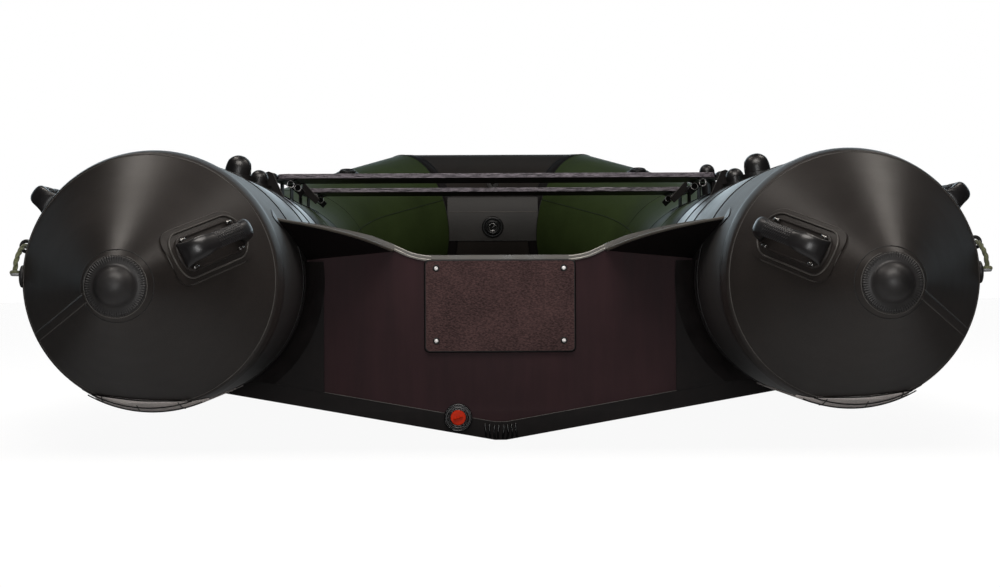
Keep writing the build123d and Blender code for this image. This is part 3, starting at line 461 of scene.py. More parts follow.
def line_points(side):
    """The route's points; the first two leave the lug square to it, and the last two lie level."""
    points = [line_place(*row) for row in line_route]
    lug = line_place(*LUG)
    out = Vector((cos(LUG[1] / (TUBE_R + LINE_STAND)), 0, sin(LUG[1] / (TUBE_R + LINE_STAND))))
    for i in (0, 1):
        points[i] = lug + Vector((-out.z, 0, out.x)) * (line_route[i][1] - LUG[1])
    points[-1] = Vector((points[-2].x, line_route[-1][0], points[-2].z))
    return [mirrored(p, side) for p in points]


def smooth_route(points):
    """A NURBS curve through the route's neighbourhood, read as a chain of points."""
    curve = bpy.data.curves.new("route", "CURVE")
    curve.dimensions = "3D"
    spline = curve.splines.new("NURBS")
    spline.points.add(len(points) - 1)
    for place, p in zip(spline.points, points):
        place.co = (p.x, p.y, p.z, 1.0)
    spline.order_u = 3
    spline.use_endpoint_u = True
    holder = bpy.data.objects.new("route", curve)
    bpy.context.scene.collection.objects.link(holder)
    bpy.context.view_layer.update()
    chain = bpy.data.meshes.new_from_object(holder)
    places = [v.co.copy() for v in chain.vertices]
    bpy.data.objects.remove(holder)
    return places


rope_paths = {"port": smooth_route(line_points(-1)), "starboard": smooth_route(line_points(1))}
path_length = length_of(rope_paths["port"])
print("each grab line follows", round(path_length, 3), "m of curve")

# %% [markdown]
# Most pieces here are rows of points with faces between neighbouring rows: a rope, a tape, a bead of
# glue, a handle's bar. So a few short functions make them all: numbers in even steps, a closed section,
# the faces between rows, and a section carried along a chain of points.

# %% Helpers for meshes
RIGHT, FORWARD, UPRIGHT = Vector((1, 0, 0)), Vector((0, 1, 0)), Vector((0, 0, 1))


def piece_from(name, points, faces, material, slot, body="hull", smooth=True):
    """A new mesh piece that rides on a body of the boat."""
    mesh = bpy.data.meshes.new(name)
    mesh.from_pydata([tuple(p) for p in points], [], faces)
    shell = bmesh.new()
    shell.from_mesh(mesh)
    bmesh.ops.recalc_face_normals(shell, faces=shell.faces)
    shell.to_mesh(mesh)
    shell.free()
    mesh.polygons.foreach_set("use_smooth", [smooth] * len(mesh.polygons))
    mesh.materials.append(material)
    piece = bpy.data.objects.new(name, mesh)
    bpy.context.scene.collection.objects.link(piece)
    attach(piece, body)
    return piece


def full_turn(count):
    """The angles of count places round a circle."""
    return [2 * pi * k / count for k in range(count)]


def spaced(first, last, steps):
    """Numbers from first to last in even steps, both ends included."""
    return [first + (last - first) * i / steps for i in range(steps + 1)]


def oval(wide, high, count):
    """A closed section, as (out, up) pairs."""
    return [(wide * cos(a), high * sin(a)) for a in full_turn(count)]


def evenly(places, step):
    """The same chain with its points an even step apart."""
    lengths = [0.0]
    for a, b in zip(places, places[1:]):
        lengths.append(lengths[-1] + (b - a).length)
    count = max(2, round(lengths[-1] / step))
    even, i = [], 0
    for k in range(count + 1):
        want = lengths[-1] * k / count
        while i < len(lengths) - 2 and lengths[i + 1] < want:
            i += 1
        share = (want - lengths[i]) / max(1e-9, lengths[i + 1] - lengths[i])
        even.append(places[i].lerp(places[i + 1], min(1.0, share)))
    return even


def square_to(way):
    """Some direction square to this one."""
    side = way.cross(UPRIGHT)
    if side.length < 0.1:
        side = way.cross(FORWARD)
    return side.normalized()


def quads(rows, count, closed=False, first=0):
    """Faces between neighbouring rows of count points. closed joins the last row to the first."""
    faces = []
    for i in range(rows if closed else rows - 1):
        a, b = first + i * count, first + (i + 1) % rows * count
        faces += [(a + k, a + (k + 1) % count, b + (k + 1) % count, b + k) for k in range(count)]
    return faces


def lid(row, count, first=0):
    """One face over a whole row of points."""
    return tuple(range(first + row * count, first + (row + 1) * count))


def swept(name, places, section, material, slot, body="hull", turns=0.0):
    """Carries a closed section along a chain of points, turned as little as it can be, with closed ends."""
    n, m = len(places), len(section)
    tangents = [(places[min(i + 1, n - 1)] - places[max(i - 1, 0)]).normalized() for i in range(n)]
    side = square_to(tangents[0])
    points = []
    for i, (place, tangent) in enumerate(zip(places, tangents)):
        side = (side - tangent * side.dot(tangent)).normalized()
        other = tangent.cross(side)
        spin = 2 * pi * turns * i / (n - 1)
        for u, v in section:
            a = u * cos(spin) - v * sin(spin)
            b = u * sin(spin) + v * cos(spin)
            points.append(place + side * a + other * b)
    return piece_from(name, points, quads(n, m) + [lid(0, m), lid(n - 1, m)], material, slot, body)


print("mesh helpers ready")

# %% [markdown]
# The rope is laid from three round strands. Their common outline is swept along the route and turned
# once for each lay, so the strands twist round each other with no need to model them one by one.

# %% Grab lines of three strands
STRAND_TURN = 0.042
STRANDS, POINTS_PER_STRAND = 3, 7
ROPE_STEP = 0.0028


def strand_section():
    """Outline of a rope of round strands that lie against each other."""
    strand_r = LINE_R * 0.52
    centre_r = LINE_R - strand_r
    outline = []
    for angle in full_turn(STRANDS * POINTS_PER_STRAND):
        nearest = round(angle * STRANDS / (2 * pi)) * 2 * pi / STRANDS
        off = angle - nearest
        reach = centre_r * cos(off) + sqrt(max(0.0, strand_r ** 2 - (centre_r * sin(off)) ** 2))
        outline.append((reach * cos(angle), reach * sin(angle)))
    return outline


for side, path in rope_paths.items():
    chain = evenly(path, ROPE_STEP)
    rope = swept("rope_" + side, chain, strand_section(), rope_yarn, "rope", turns=path_length / STRAND_TURN)
    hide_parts("grab_line_" + side)
print("2 grab lines of", LINE_LENGTH, "m")

# %% [markdown]
# Most small pieces of an inflatable lie on a curved skin: tapes over seams, beads of glue, patches. They
# could be modelled flat and then shrink-wrapped, but a function that says where the skin is, for any
# place along and round the tube, is simpler and exact. The first one below is for the stern: a straight
# tube, a rounded shoulder, and the cone with its slight droop. Turn is measured inward from straight up.

# %% Where the stern's skin is
SEAM_Y, SEAM_R = -0.500, 0.231
RING_Y, RING_R = -0.800, 0.052
SHOULDER_Y, CONE_DROOP = -0.440, 0.011
shoulder_drop = TUBE_R - SEAM_R
shoulder_bend = ((SHOULDER_Y - SEAM_Y) ** 2 + shoulder_drop ** 2) / (2 * shoulder_drop)


def skin_section(y):
    """Radius of the stern's skin at y, and how far its middle has drooped."""
    if y >= SHOULDER_Y:
        return TUBE_R, 0.0
    if y >= SEAM_Y:
        return TUBE_R - shoulder_bend + sqrt(shoulder_bend ** 2 - (y - SHOULDER_Y) ** 2), 0.0
    share = (SEAM_Y - y) / (SEAM_Y - RING_Y)
    return SEAM_R + (RING_R - SEAM_R) * share, CONE_DROOP * share


def on_stern(y, turn, lift=0.0, side=1):
    """A point on the skin, or lifted off it along its normal."""
    def plain(at):
        r, droop = skin_section(at)
        return Vector((TUBE_X - r * sin(turn), at, TUBE_Z - droop + r * cos(turn)))
    along = (plain(y + 0.001) - plain(y - 0.001)).normalized()
    out = Vector((-sin(turn), 0.0, cos(turn)))
    out = (out - along * out.dot(along)).normalized()
    return mirrored(plain(y) + out * lift, side)


print("shoulder bends with radius", round(shoulder_bend, 3), "m")

# %% [markdown]
# A tape is a thin strip whose edges slope down to the skin. It is a grid of points: long rows that
# follow the skin, and across each row a low profile that starts and ends just under the surface.
# A bead is a thin round line of glue or cord along such a row.

# %% Tapes and beads
SIDES = (("_starboard", 1), ("_port", -1))
TAPE_T, TAPE_SLOPE, UNDER = 0.0011, 0.0012, -0.0006


def tape(name, rows, material, slot, closed=False):
    """Rows of points across the tape, one row at each step along it. closed joins the last to the first."""
    n, m = len(rows), len(rows[0])
    faces = quads(n, m, closed)
    if not closed:
        faces += [lid(0, m), lid(n - 1, m)]
    return piece_from(name, [p for row in rows for p in row], faces, material, slot)


def across(place, low, high, thick=TAPE_T, slope=TAPE_SLOPE, steps=2):
    """One row of a tape: place(v, lift) gives its points for v from low to high."""
    wide = high - low
    edge = slope / abs(wide)
    row = [place(low, UNDER), place(low + wide * edge, thick)]
    for k in range(1, steps):
        row.append(place(low + wide * k / steps, thick))
    return row + [place(high - wide * edge, thick), place(high, UNDER)]


def ring_tape(name, y_aft, y_fore, side, material, slot):
    """A tape right round the stern tube."""
    rows = []
    for turn in full_turn(144):
        rows.append(across(lambda y, lift: on_stern(y, turn, lift, side), y_aft, y_fore, steps=4))
    return tape(name, rows, material, slot, closed=True)


def bead(name, places, radius, material, slot, body="hull"):
    return swept(name, places, oval(radius, radius, 8), material, slot, body)


def ring_bead(name, y, side, radius, material, slot, first=0.0, last=2 * pi):
    places = [on_stern(y, turn, 0.0, side) for turn in spaced(first, last, 160)]
    return bead(name, places, radius, material, slot)


def loop_bead(name, places, radius, material, slot, count=8, body="hull"):
    """A round bead along a closed loop of points."""
    n = len(places)
    points = []
    middle = sum(places, Vector()) / n
    for i, place in enumerate(places):
        tangent = (places[(i + 1) % n] - places[i - 1]).normalized()
        out = place - middle
        out = (out - tangent * out.dot(tangent)).normalized()
        up = tangent.cross(out)
        points += [place + out * a + up * b for a, b in oval(radius, radius, count)]
    return piece_from(name, points, quads(n, count, closed=True), material, slot, body)


print("tape and bead helpers ready")

# %% [markdown]
# The cone is cut from flat fabric, rolled and glued along one overlap, and glued again to the tube. The
# joints show as thin lines where an edge of fabric ends: beads whose light colour is a painted
# highlight on that edge. The overlap runs from the cap outward and down. More rings lie where the next
# panels of the tube begin.

# %% Seams of the stern
# The first of these two colours is light: a painted highlight for beads along edges that catch the light. The
# second is the dark of real joints.
painted_highlight_line = moulded("painted_highlight_line", (72, 69, 66), 0.38, strength=0.1)
dark_glue = moulded("dark_glue", (16, 15, 15), 0.45, strength=0.1)
CONE_TAPE_FORE = -0.452
OVERLAP_TURN, OVERLAP_W, OVERLAP_T, OVERLAP_AFT = radians(-118.5), 0.016, 0.0010, RING_Y + 0.006
PANEL_SEAMS = (-0.112, 0.26, 0.46)
for tail, side in SIDES:
    ring_tape("cone_seam_tape" + tail, SEAM_Y, CONE_TAPE_FORE, side, pvc_black, "pvc_black")
    ring_bead("cone_seam_edge_highlight" + tail, SEAM_Y - 0.0006, side, 0.0008, painted_highlight_line, "pvc_black")
    rows, low_edge, high_edge = [], [], []
    for y in spaced(OVERLAP_AFT, SEAM_Y, 60):
        r = skin_section(y)[0]
        end = OVERLAP_TURN + OVERLAP_W / r
        rows.append(across(lambda turn, lift: on_stern(y, turn, lift, side), OVERLAP_TURN, end, OVERLAP_T,
                           TAPE_SLOPE / r, steps=4))
        low_edge.append(on_stern(y, OVERLAP_TURN, 0.0, side))
        high_edge.append(on_stern(y, end, 0.0, side))
    tape("cone_overlap" + tail, rows, pvc_black, "pvc_black")
    bead("cone_overlap_edge_highlight_low" + tail, low_edge, 0.0008, painted_highlight_line, "pvc_black")
    bead("cone_overlap_edge_highlight_high" + tail, high_edge, 0.0006, painted_highlight_line, "pvc_black")
    for k, seam_y in enumerate(PANEL_SEAMS):
        ring_bead(f"panel_seam_{k}{tail}", seam_y, side, 0.0020, dark_glue, "pvc_black")
print("seams of the stern on both sides")

# %% [markdown]
# Each cone ends in a moulded rubber cap: a soft dome that runs out into a flat rim. The rim is pinked, so
# that it beds into the glue, and its small teeth catch the light as fine radial ticks. A revolved
# profile gives the cap, and its rim rises and draws in a little at each tooth.

# %% Caps on the cones
CAP_PROFILE = [
    # radius, distance aft of the cone's end
    (0.0, 0.0368), (0.008, 0.0361), (0.0152, 0.0338), (0.0215, 0.0297), (0.0263, 0.0244), (0.0299, 0.0186),
    (0.0324, 0.0132), (0.0343, 0.009), (0.0364, 0.0063), (0.0392, 0.0052), (0.0426, 0.0048), (0.0445, 0.0049),
    (0.0462, 0.0049), (0.048, 0.0048), (0.0497, 0.0046), (0.0512, 0.0036), (0.0519, 0.0012), (0.0515, 0.0003),
]
TEETH, PER_TOOTH, TOOTH_H, TOOTH_IN = 72, 4, 0.0017, 0.0006
TEETH_FROM, TEETH_TO, RIM_FROM = 0.0443, 0.0518, 0.051
HALO_Y = RING_Y + 0.0155


def cap_mesh(side):
    count = TEETH * PER_TOOTH
    middle_z = TUBE_Z - CONE_DROOP
    points = [(TUBE_X * side, RING_Y - CAP_PROFILE[0][1], middle_z)]
    for r, aft in CAP_PROFILE[1:]:
        for k, angle in enumerate(full_turn(count)):
            wave = cos(2 * pi * k / PER_TOOTH)
            step = TOOTH_H * (0.5 - 0.5 * wave) if TEETH_FROM < r < TEETH_TO else 0.0
            reach = r - TOOTH_IN * (1 - wave) * (1 if r > RIM_FROM else 0)
            x, z = TUBE_X * side + reach * cos(angle), middle_z + reach * sin(angle)
            points.append((x, RING_Y - aft + step, z))
    rings = len(CAP_PROFILE) - 1
    faces = [(0, 1 + k, 1 + (k + 1) % count) for k in range(count)]
    return points, faces + quads(rings, count, first=1) + [lid(rings - 1, count, first=1)]


for tail, side in SIDES:
    cap = piece_from("cone_cap" + tail, *cap_mesh(side), cap_rubber, "rubber")
    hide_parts("cone_caps")
    ring_bead("cap_halo" + tail, HALO_Y, side, 0.0009, rubber, "rubber")
    # The light bead round the cap's rim is a painted highlight in its colour.
    ring_bead("cap_rim_highlight" + tail, RING_Y + 0.0012, side, 0.0010, painted_highlight_line, "rubber", radians(20),
              radians(340))
print("caps with", TEETH, "teeth each")

# %% [markdown]
# The outboard's plates are held by four bright rivets each, over a black seal that shows as a thin line
# round them. A rivet is a low dome, so it is turned on a lathe here too, and it sits in a dark ring.

# %% Rivets and seal of the motor plate
PLATE_W, PLATE_H, PLATE_MID_Z, PLATE_CORNER = 0.315, 0.191, 0.224, 0.009
BOARD_T, PLATE_T = 0.025, 0.009
RIVET_SPOTS = ((-0.1355, 0.304), (0.1355, 0.304), (-0.1355, 0.150), (0.1355, 0.150))
RIVET_PROFILE = [(0.0, 0.0030), (0.0018, 0.0028), (0.0032, 0.0022), (0.0041, 0.0010), (0.0044, 0.0),
                 (0.0044, -0.0012), (0.0, -0.0014)]
SEAT_R, SEAL_ROOM, SEAL_DEEP = 0.0058, 0.0016, 0.0026


def lathe(name, profile, origin, way, material, slot, count=24):
    """Turns (radius, height) pairs round the line from origin along way. The ends lie on the axis."""
    origin, way = Vector(origin), Vector(way).normalized()
    side = square_to(way)
    other = way.cross(side)
    points, rings = [], []
    for r, h in profile:
        if r < 1e-7:
            rings.append([len(points)] * count)
            points.append(origin + way * h)
            continue
        rings.append([len(points) + k for k in range(count)])
        points += [origin + way * h + side * a + other * b for a, b in oval(r, r, count)]
    faces = []
    for low, high in zip(rings, rings[1:]):
        for k in range(count):
            around = (low[k], low[(k + 1) % count], high[(k + 1) % count], high[k])
            corners = tuple(dict.fromkeys(around))
            if len(corners) > 2:
                faces.append(corners)
    return piece_from(name, points, faces, material, slot)


def rounded_loop(width, height, corner, per_corner=8):
    """Points round a rectangle with round corners, in its own flat plane."""
    loop = []
    for cx, cy, start in ((1, 1, 0), (-1, 1, 90), (-1, -1, 180), (1, -1, 270)):
        for k in range(per_corner + 1):
            a = radians(start + 90 * k / per_corner)
            x, y = cx * (width / 2 - corner), cy * (height / 2 - corner)
            loop.append((x + corner * cos(a), y + corner * sin(a)))
    return loop


rivet_white = moulded("rivet_white", (252, 250, 249), 0.20, strength=0.05, specular=0.9)
seal_loop = rounded_loop(PLATE_W + SEAL_ROOM, PLATE_H + SEAL_ROOM, PLATE_CORNER)
for face, face_y, seal_y, way in (("aft", -PLATE_T, -SEAL_DEEP, -1),
                                  ("fore", BOARD_T + PLATE_T, BOARD_T + SEAL_DEEP, 1)):
    for k, (x, z) in enumerate(RIVET_SPOTS):
        lathe(f"plate_rivet_{face}_{k}", RIVET_PROFILE, (x, face_y, z), (0, way, 0), rivet_white, "steel")
        seat = [Vector((x + a, face_y + way * 0.0002, z + b)) for a, b in oval(SEAT_R, SEAT_R, 32)]
        loop_bead(f"plate_rivet_seat_{face}_{k}", seat, 0.0015, dark_glue, "rubber")
    seal = [Vector((x, seal_y, PLATE_MID_Z + z)) for x, z in seal_loop]
    loop_bead("plate_seal_" + face, seal, 0.0031, dark_glue, "rubber")
print("8 rivets and 2 seals")

# %% [markdown]
# The band along the V is a strip of rubber glued over the board's lower edge. Its top edge shows as a
# fine light line, a bead whose light colour is a painted highlight, and at the keel it is gathered in
# small upright pleats to get round the corner.

# %% Line and pleats of the transom band
KEEL_Z, KEEL_HALF, V_SLOPE = -0.061, 0.012, 0.178
BAND_T, BAND_H, BAND_LINE_HALF = 0.004, 0.034, 0.56
PLEATS = (-0.032, -0.023, -0.013, -0.005, 0.006, 0.015, 0.024, 0.033)
PLEAT_BOW = 0.0012


def v_height(x, lift):
    return KEEL_Z + lift + max(0.0, abs(x) - KEEL_HALF) * V_SLOPE


band_top = BAND_T + BAND_H
line_xs = (-BAND_LINE_HALF, -KEEL_HALF, KEEL_HALF, BAND_LINE_HALF)
band_edge = [Vector((x, -0.0008, v_height(x, band_top))) for x in line_xs]
bead("band_edge_line", evenly(band_edge, 0.01), 0.0010, painted_highlight_line, "rubber")
for k, x in enumerate(PLEATS):
    low, high = v_height(x, 0.0005), v_height(x, band_top - 0.006)
    pleat = []
    for s in spaced(0.0, 1.0, 10):
        bowed = -BAND_T - PLEAT_BOW * sin(pi * s)
        pleat.append(Vector((x + PLEAT_BOW * sin(5 * s + k), bowed, low + (high - low) * s)))
    bead(f"band_pleat_{k}", pleat, 0.0022, drain_rubber, "rubber")
print("band with", len(PLEATS), "pleats")

# %% [markdown]
# The gussets' free edges are bound with a folded strip, which is what the light catches. The edge is an
# arc from the board's shoulder out and back to the tube, with a tapered tongue glued down at its tip.

# %% Bound edges of the gussets
BOARD_SHOULDER_X, BOARD_SHOULDER_Z = 0.22806, 0.354
TRIM_DOWN, GUSSET_DROP, GUSSET_BULGE = 0.009, 0.002, 0.020
GUSSET_Y, GUSSET_TIP_Y = -0.0003, -0.305
EDGE_DOWN, EDGE_W, EDGE_T = 0.0015, 0.0044, 0.0030
TONGUE_L, TONGUE_HALF, TONGUE_TIP, TONGUE_T = 0.060, 0.020, 0.002, 0.0018


def inner_side(y, rise):
    """The point of the tube's inner side that lies this high over the tube's middle."""
    return Vector((TUBE_X - sqrt(TUBE_R ** 2 - rise ** 2), y, TUBE_Z + rise))


def arc_through(a, b, c, steps):
    """Points along the arc from a through b to c."""
    u, v = b - a, c - a
    w = u.cross(v)
    centre = a + (w.cross(u) * v.length_squared + v.cross(w) * u.length_squared) / (2 * w.length_squared)
    start = a - centre
    whole_turn = start.angle(c - centre)
    return [centre + Quaternion(w.normalized(), whole_turn * i / steps) @ start for i in range(steps + 1)]


gusset_in = Vector((BOARD_SHOULDER_X, GUSSET_Y, BOARD_SHOULDER_Z - TRIM_DOWN - GUSSET_DROP))
gusset_out, gusset_tip = inner_side(GUSSET_Y, 0.047), inner_side(GUSSET_TIP_Y, 0.120)
gusset_down = (gusset_tip - gusset_out).cross(gusset_in - gusset_out).normalized()
if gusset_down.z > 0:
    gusset_down = -gusset_down
gusset_mid = (gusset_in + gusset_tip) / 2
gusset_away = (gusset_in - gusset_tip).cross(gusset_down).normalized()
if gusset_away.dot(gusset_mid - gusset_out) < 0:
    gusset_away = -gusset_away
gusset_edge = arc_through(gusset_in, gusset_mid + gusset_away * GUSSET_BULGE, gusset_tip, 40)
tip_turn = atan2(TUBE_X - gusset_tip.x, gusset_tip.z - TUBE_Z)
for tail, side in SIDES:
    edge = [mirrored(p + gusset_down * EDGE_DOWN, side) for p in gusset_edge]
    swept("gusset_edge" + tail, edge, oval(EDGE_W, EDGE_T, 12), edge_rubber, "edge_trim")
    rows = []
    for s in spaced(0.0, 1.0, 16):
        y = gusset_tip.y + 0.004 - TONGUE_L * s
        half = (TONGUE_HALF * (1 - s) ** 0.7 + TONGUE_TIP) / TUBE_R
        rows.append(across(lambda turn, lift: on_stern(y, turn, lift, side), tip_turn - half, tip_turn + half,
                           TONGUE_T, TAPE_SLOPE / TUBE_R, 4))
    tape("gusset_tongue" + tail, rows, rubber, "pvc_black")
print("gussets bound, free edge", round(length_of(gusset_edge), 3), "m")

# %% [markdown]
# Carry handles are moulded in one piece with their base. The hand closes on a bar with a pimpled grip,
# and at each end the bar swells into a glossy knuckle before it meets the base. A bar of varying oval
# sections gives that shape; the pimples are a fine wave on its radius, as they are on the mould.

# %% Carry handles
HANDLE_SECTIONS = [
    # place along, height of the middle, half width, half thickness
    (-0.0860, 0.0030, 0.0235, 0.0040), (-0.0835, 0.0090, 0.0215, 0.0070), (-0.0780, 0.0190, 0.0195, 0.0110),
    (-0.0690, 0.0290, 0.0192, 0.0138), (-0.0580, 0.0365, 0.0186, 0.0130), (-0.0470, 0.0410, 0.0164, 0.0104),
    (-0.0380, 0.0430, 0.0148, 0.0086), (-0.0200, 0.0442, 0.0142, 0.0080), (0.0, 0.0445, 0.0140, 0.0078),
]
HANDLE_SECTIONS += [(-x, z, w, t) for x, z, w, t in HANDLE_SECTIONS[-2::-1]]
HANDLE_HALF = HANDLE_SECTIONS[-1][0]
GRIP_HALF, GRIP_FADE, PIMPLE, PIMPLE_PITCH, PIMPLES_AROUND = 0.039, 0.004, 0.0015, 0.0056, 10
BAR_RINGS, BAR_COUNT, NEAR_X = 210, 66, 0.002
BASE_L, BASE_W, BASE_CORNER, BASE_RINGS, BASE_FLOOR = 0.186, 0.064, 0.030, 5, (0.88, 0.0018)
BASE_PROFILE = [(1.0, -0.004), (1.0, 0.0022), (0.985, 0.0040), (0.95, 0.0046), (0.92, 0.0040), (0.90, 0.0022),
                BASE_FLOOR]
PATCH_TOP = 0.0038
STERN_SHARE, STERN_TURN = 0.475, radians(63.7)
SIDE_Y, SIDE_TURN = -0.330, radians(-54.5)
BOW_Y, BOW_Z, BOW_ANGLE = 2.630, TUBE_Z + 0.223, radians(38.0)


def between(rows, x):
    """Rows of numbers, read at x on a smooth curve through all of them."""
    i = 0
    while i < len(rows) - 2 and x > rows[i + 1][0]:
        i += 1
    before, a, b, after = rows[max(0, i - 1)], rows[i], rows[i + 1], rows[min(len(rows) - 1, i + 2)]
    wide = b[0] - a[0]
    s = min(1.0, max(0.0, (x - a[0]) / wide))
    read = []
    for k in range(1, len(a)):
        start = (b[k] - before[k]) / (b[0] - before[0]) * wide
        end = (after[k] - a[k]) / (after[0] - a[0]) * wide
        rise = b[k] - a[k]
        read.append(a[k] + s * (start + s * (3 * rise - 2 * start - end + s * (start + end - 2 * rise))))
    return read


def squarer(v):
    """A sine or cosine that stays near its ends for longer, for an oval with fuller corners."""
    return copysign(abs(v) ** 0.8, v)


def handle_bar(name, place):
    """The bar, in a frame of its own: place(x, y, z) takes it to the boat."""
    points = []
    for x in spaced(-HANDLE_HALF, HANDLE_HALF, BAR_RINGS):
        z, half_w, half_t = between(HANDLE_SECTIONS, x)
        grip = min(1.0, max(0.0, (GRIP_HALF - abs(x)) / GRIP_FADE))
        z_after = between(HANDLE_SECTIONS, min(HANDLE_HALF, x + NEAR_X))[0]
        z_before = between(HANDLE_SECTIONS, max(-HANDLE_HALF, x - NEAR_X))[0]
        lean = atan2(z_after - z_before, 2 * NEAR_X)
        for a in full_turn(BAR_COUNT):
            pimple = grip * PIMPLE * max(0.0, cos(2 * pi * x / PIMPLE_PITCH) * cos(PIMPLES_AROUND * a))
            up = (half_t + pimple) * squarer(sin(a))
            points.append(place(x - up * sin(lean), (half_w + pimple) * squarer(cos(a)), z + up * cos(lean)))
    rows = BAR_RINGS + 1
    faces = quads(rows, BAR_COUNT) + [lid(0, BAR_COUNT), lid(rows - 1, BAR_COUNT)]
    return piece_from(name, points, faces, glossy_rubber, "rubber")


def handle_base(name, place, drop):
    """A flat oval base under the bar, with a raised lip. drop(x, y) is how far the skin falls away."""
    outer = rounded_loop(BASE_L, BASE_W, BASE_CORNER, 10)
    points = []
    for scale, z in BASE_PROFILE:
        inset = (1 - scale) * BASE_L / 2
        for x, y in outer:
            length = sqrt(x * x + y * y)
            px, py = x - x / length * inset, y - y / length * inset
            points.append(place(px, py, z - drop(px, py)))
    for step in range(1, BASE_RINGS + 1):
        s = 1 - step / (BASE_RINGS + 0.2)
        for x, y in outer:
            px, py = x * BASE_FLOOR[0] * s, y * BASE_FLOOR[0] * s
            points.append(place(px, py, BASE_FLOOR[1] - drop(px, py)))
    rows, n = len(BASE_PROFILE) + BASE_RINGS, len(outer)
    return piece_from(name, points, quads(rows, n) + [lid(rows - 1, n)], pvc_black, "pvc_black")


def frame_place(origin, along, out, side):
    """A function from the handle's own frame to the boat, on either side."""
    along, out = along.normalized(), out.normalized()
    flank = out.cross(along)
    return lambda x, y, z: mirrored(origin + along * x + flank * y + out * z, side)


def tube_drop(x, y):
    return TUBE_R - sqrt(TUBE_R ** 2 - y ** 2)


def cone_drop(x, y):
    r = (skin_section(stern_y)[0] + x * sin(cone_lean)) / cos(cone_lean)
    return r - sqrt(r ** 2 - y ** 2)


stern_y = SEAM_Y + (RING_Y - SEAM_Y) * STERN_SHARE
cone_lean = atan2(SEAM_R - RING_R, SEAM_Y - RING_Y)
stern_out = (on_stern(stern_y, STERN_TURN, 0.01) - on_stern(stern_y, STERN_TURN, 0.0)).normalized()
stern_along = on_stern(stern_y + 0.05, STERN_TURN) - on_stern(stern_y - 0.05, STERN_TURN)
side_out = Vector((-sin(SIDE_TURN), 0, cos(SIDE_TURN)))
bow_out = Vector((0, cos(BOW_ANGLE), sin(BOW_ANGLE)))
bow_origin = Vector((0, BOW_Y, BOW_Z)) + bow_out * (TUBE_R + PATCH_TOP)
handles = []
for tail, side in SIDES:
    at_stern = frame_place(on_stern(stern_y, STERN_TURN, PATCH_TOP), stern_along, stern_out, side)
    at_side = frame_place(on_stern(SIDE_Y, SIDE_TURN, PATCH_TOP), FORWARD, side_out, side)
    handles += [("stern", tail, at_stern, cone_drop), ("side", tail, at_side, tube_drop)]
handles.append(("bow", "", frame_place(bow_origin, RIGHT, bow_out, 1), tube_drop))
for spot, tail, place, drop in handles:
    bar = handle_bar(f"{spot}_handle_bar{tail}", place)
    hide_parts(f"{spot}_handle{tail}")
    handle_base(f"{spot}_handle_base{tail}", place, drop)
print(len(handles), "carry handles")

# %% [markdown]
# Under each handle lies a patch of the same fabric, glued over the skin. Its edge catches the light as
# one line, and a second line inside it shows where the handle's own sheet ends; both are beads whose
# light colour is a painted highlight.

# %% Outlines of the handle patches
PATCH_L, PATCH_W, PATCH_CORNER = 0.227, 0.102, 0.046
PATCH_LINES = (
    # name, length, width, corner, height over the handle's frame, radius of the line
    ("edge", PATCH_L, PATCH_W, PATCH_CORNER, -0.0022, 0.0011),
    ("sheet", PATCH_L - 0.020, PATCH_W - 0.018, PATCH_CORNER - 0.007, 0.0003, 0.0017),
)
for spot, tail, place, drop in handles:
    for label, length, width, corner, lift, radius in PATCH_LINES:
        loop = rounded_loop(length, width, corner, 10)
        dense = []
        for (x0, y0), (x1, y1) in zip(loop, loop[1:] + loop[:1]):
            steps = max(1, round(sqrt((x1 - x0) ** 2 + (y1 - y0) ** 2) / 0.006))
            dense += [(x0 + (x1 - x0) * k / steps, y0 + (y1 - y0) * k / steps) for k in range(steps)]
        line = [place(x, y, lift - drop(x, y)) for x, y in dense]
        loop_bead(f"patch_{spot}{tail}_{label}", line, radius, painted_highlight_line, "pvc_black")
print("2 outlines on each of", len(handles), "patches")

# %% [markdown]
# The strips that take the wear on a beach are sewn from lengths of lighter fabric, so dark seams run
# round and across them. A handle end also has small bright studs where it is moulded to its sheet.

# %% Seams of the wear strips, studs of the handles
WEAR_LIFT, CROSS_LIFT, WEAR_MIDDLE = 0.0044, 0.0036, pi + radians(4.0)
LEAF_OUT, LEAF_IN, LEAF_AFT, LEAF_FORE = radians(33.0), radians(25.0), -0.5235, -0.440
WEAR_SEAMS, WEAR_CROSSES = ((-0.5005, 0.40), (-0.470, 0.45)), (-0.30, 0.03, 0.32)
STUDS = ((-0.068, 0.026), (-0.068, -0.026), (0.068, 0.026), (0.068, -0.026))
STUD_HALF, STUD_R, STUD_UP = 0.006, 0.0028, 0.0055
leaf_middle, leaf_half = pi + (LEAF_OUT - LEAF_IN) / 2, (LEAF_OUT + LEAF_IN) / 2
for tail, side in SIDES:
    rows, leaf_edge = [], []
    for share in spaced(-1.0, 1.0, 60):
        turn = leaf_middle + leaf_half * share
        aft, fore = LEAF_AFT + 0.050 * abs(share) ** 2.4, LEAF_FORE + 0.02 * abs(share)
        thick = 0.0034 - 0.0022 * share ** 2
        rows.append(across(lambda y, lift: on_stern(y, turn, lift, side), aft, fore, thick, 0.0015, steps=8))
        leaf_edge.append(on_stern(aft, turn, 0.0020 - 0.0014 * share ** 2, side))
    tape("wear_leaf" + tail, rows, pvc_strip, "pvc_strip")
    bead("wear_leaf_edge" + tail, leaf_edge, 0.0013, dark_glue, "pvc_strip")
    for k, (y, half) in enumerate(WEAR_SEAMS):
        places = [on_stern(y, WEAR_MIDDLE + half * share, WEAR_LIFT, side) for share in spaced(-1.0, 1.0, 40)]
        bead(f"wear_seam_{k}{tail}", places, 0.0012, dark_glue, "pvc_strip")
    for k, turn in enumerate(WEAR_CROSSES):
        places = [on_stern(y, WEAR_MIDDLE + turn, CROSS_LIFT, side) for y in spaced(-0.508, -0.448, 20)]
        bead(f"wear_cross_{k}{tail}", places, 0.0010, dark_glue, "pvc_strip")
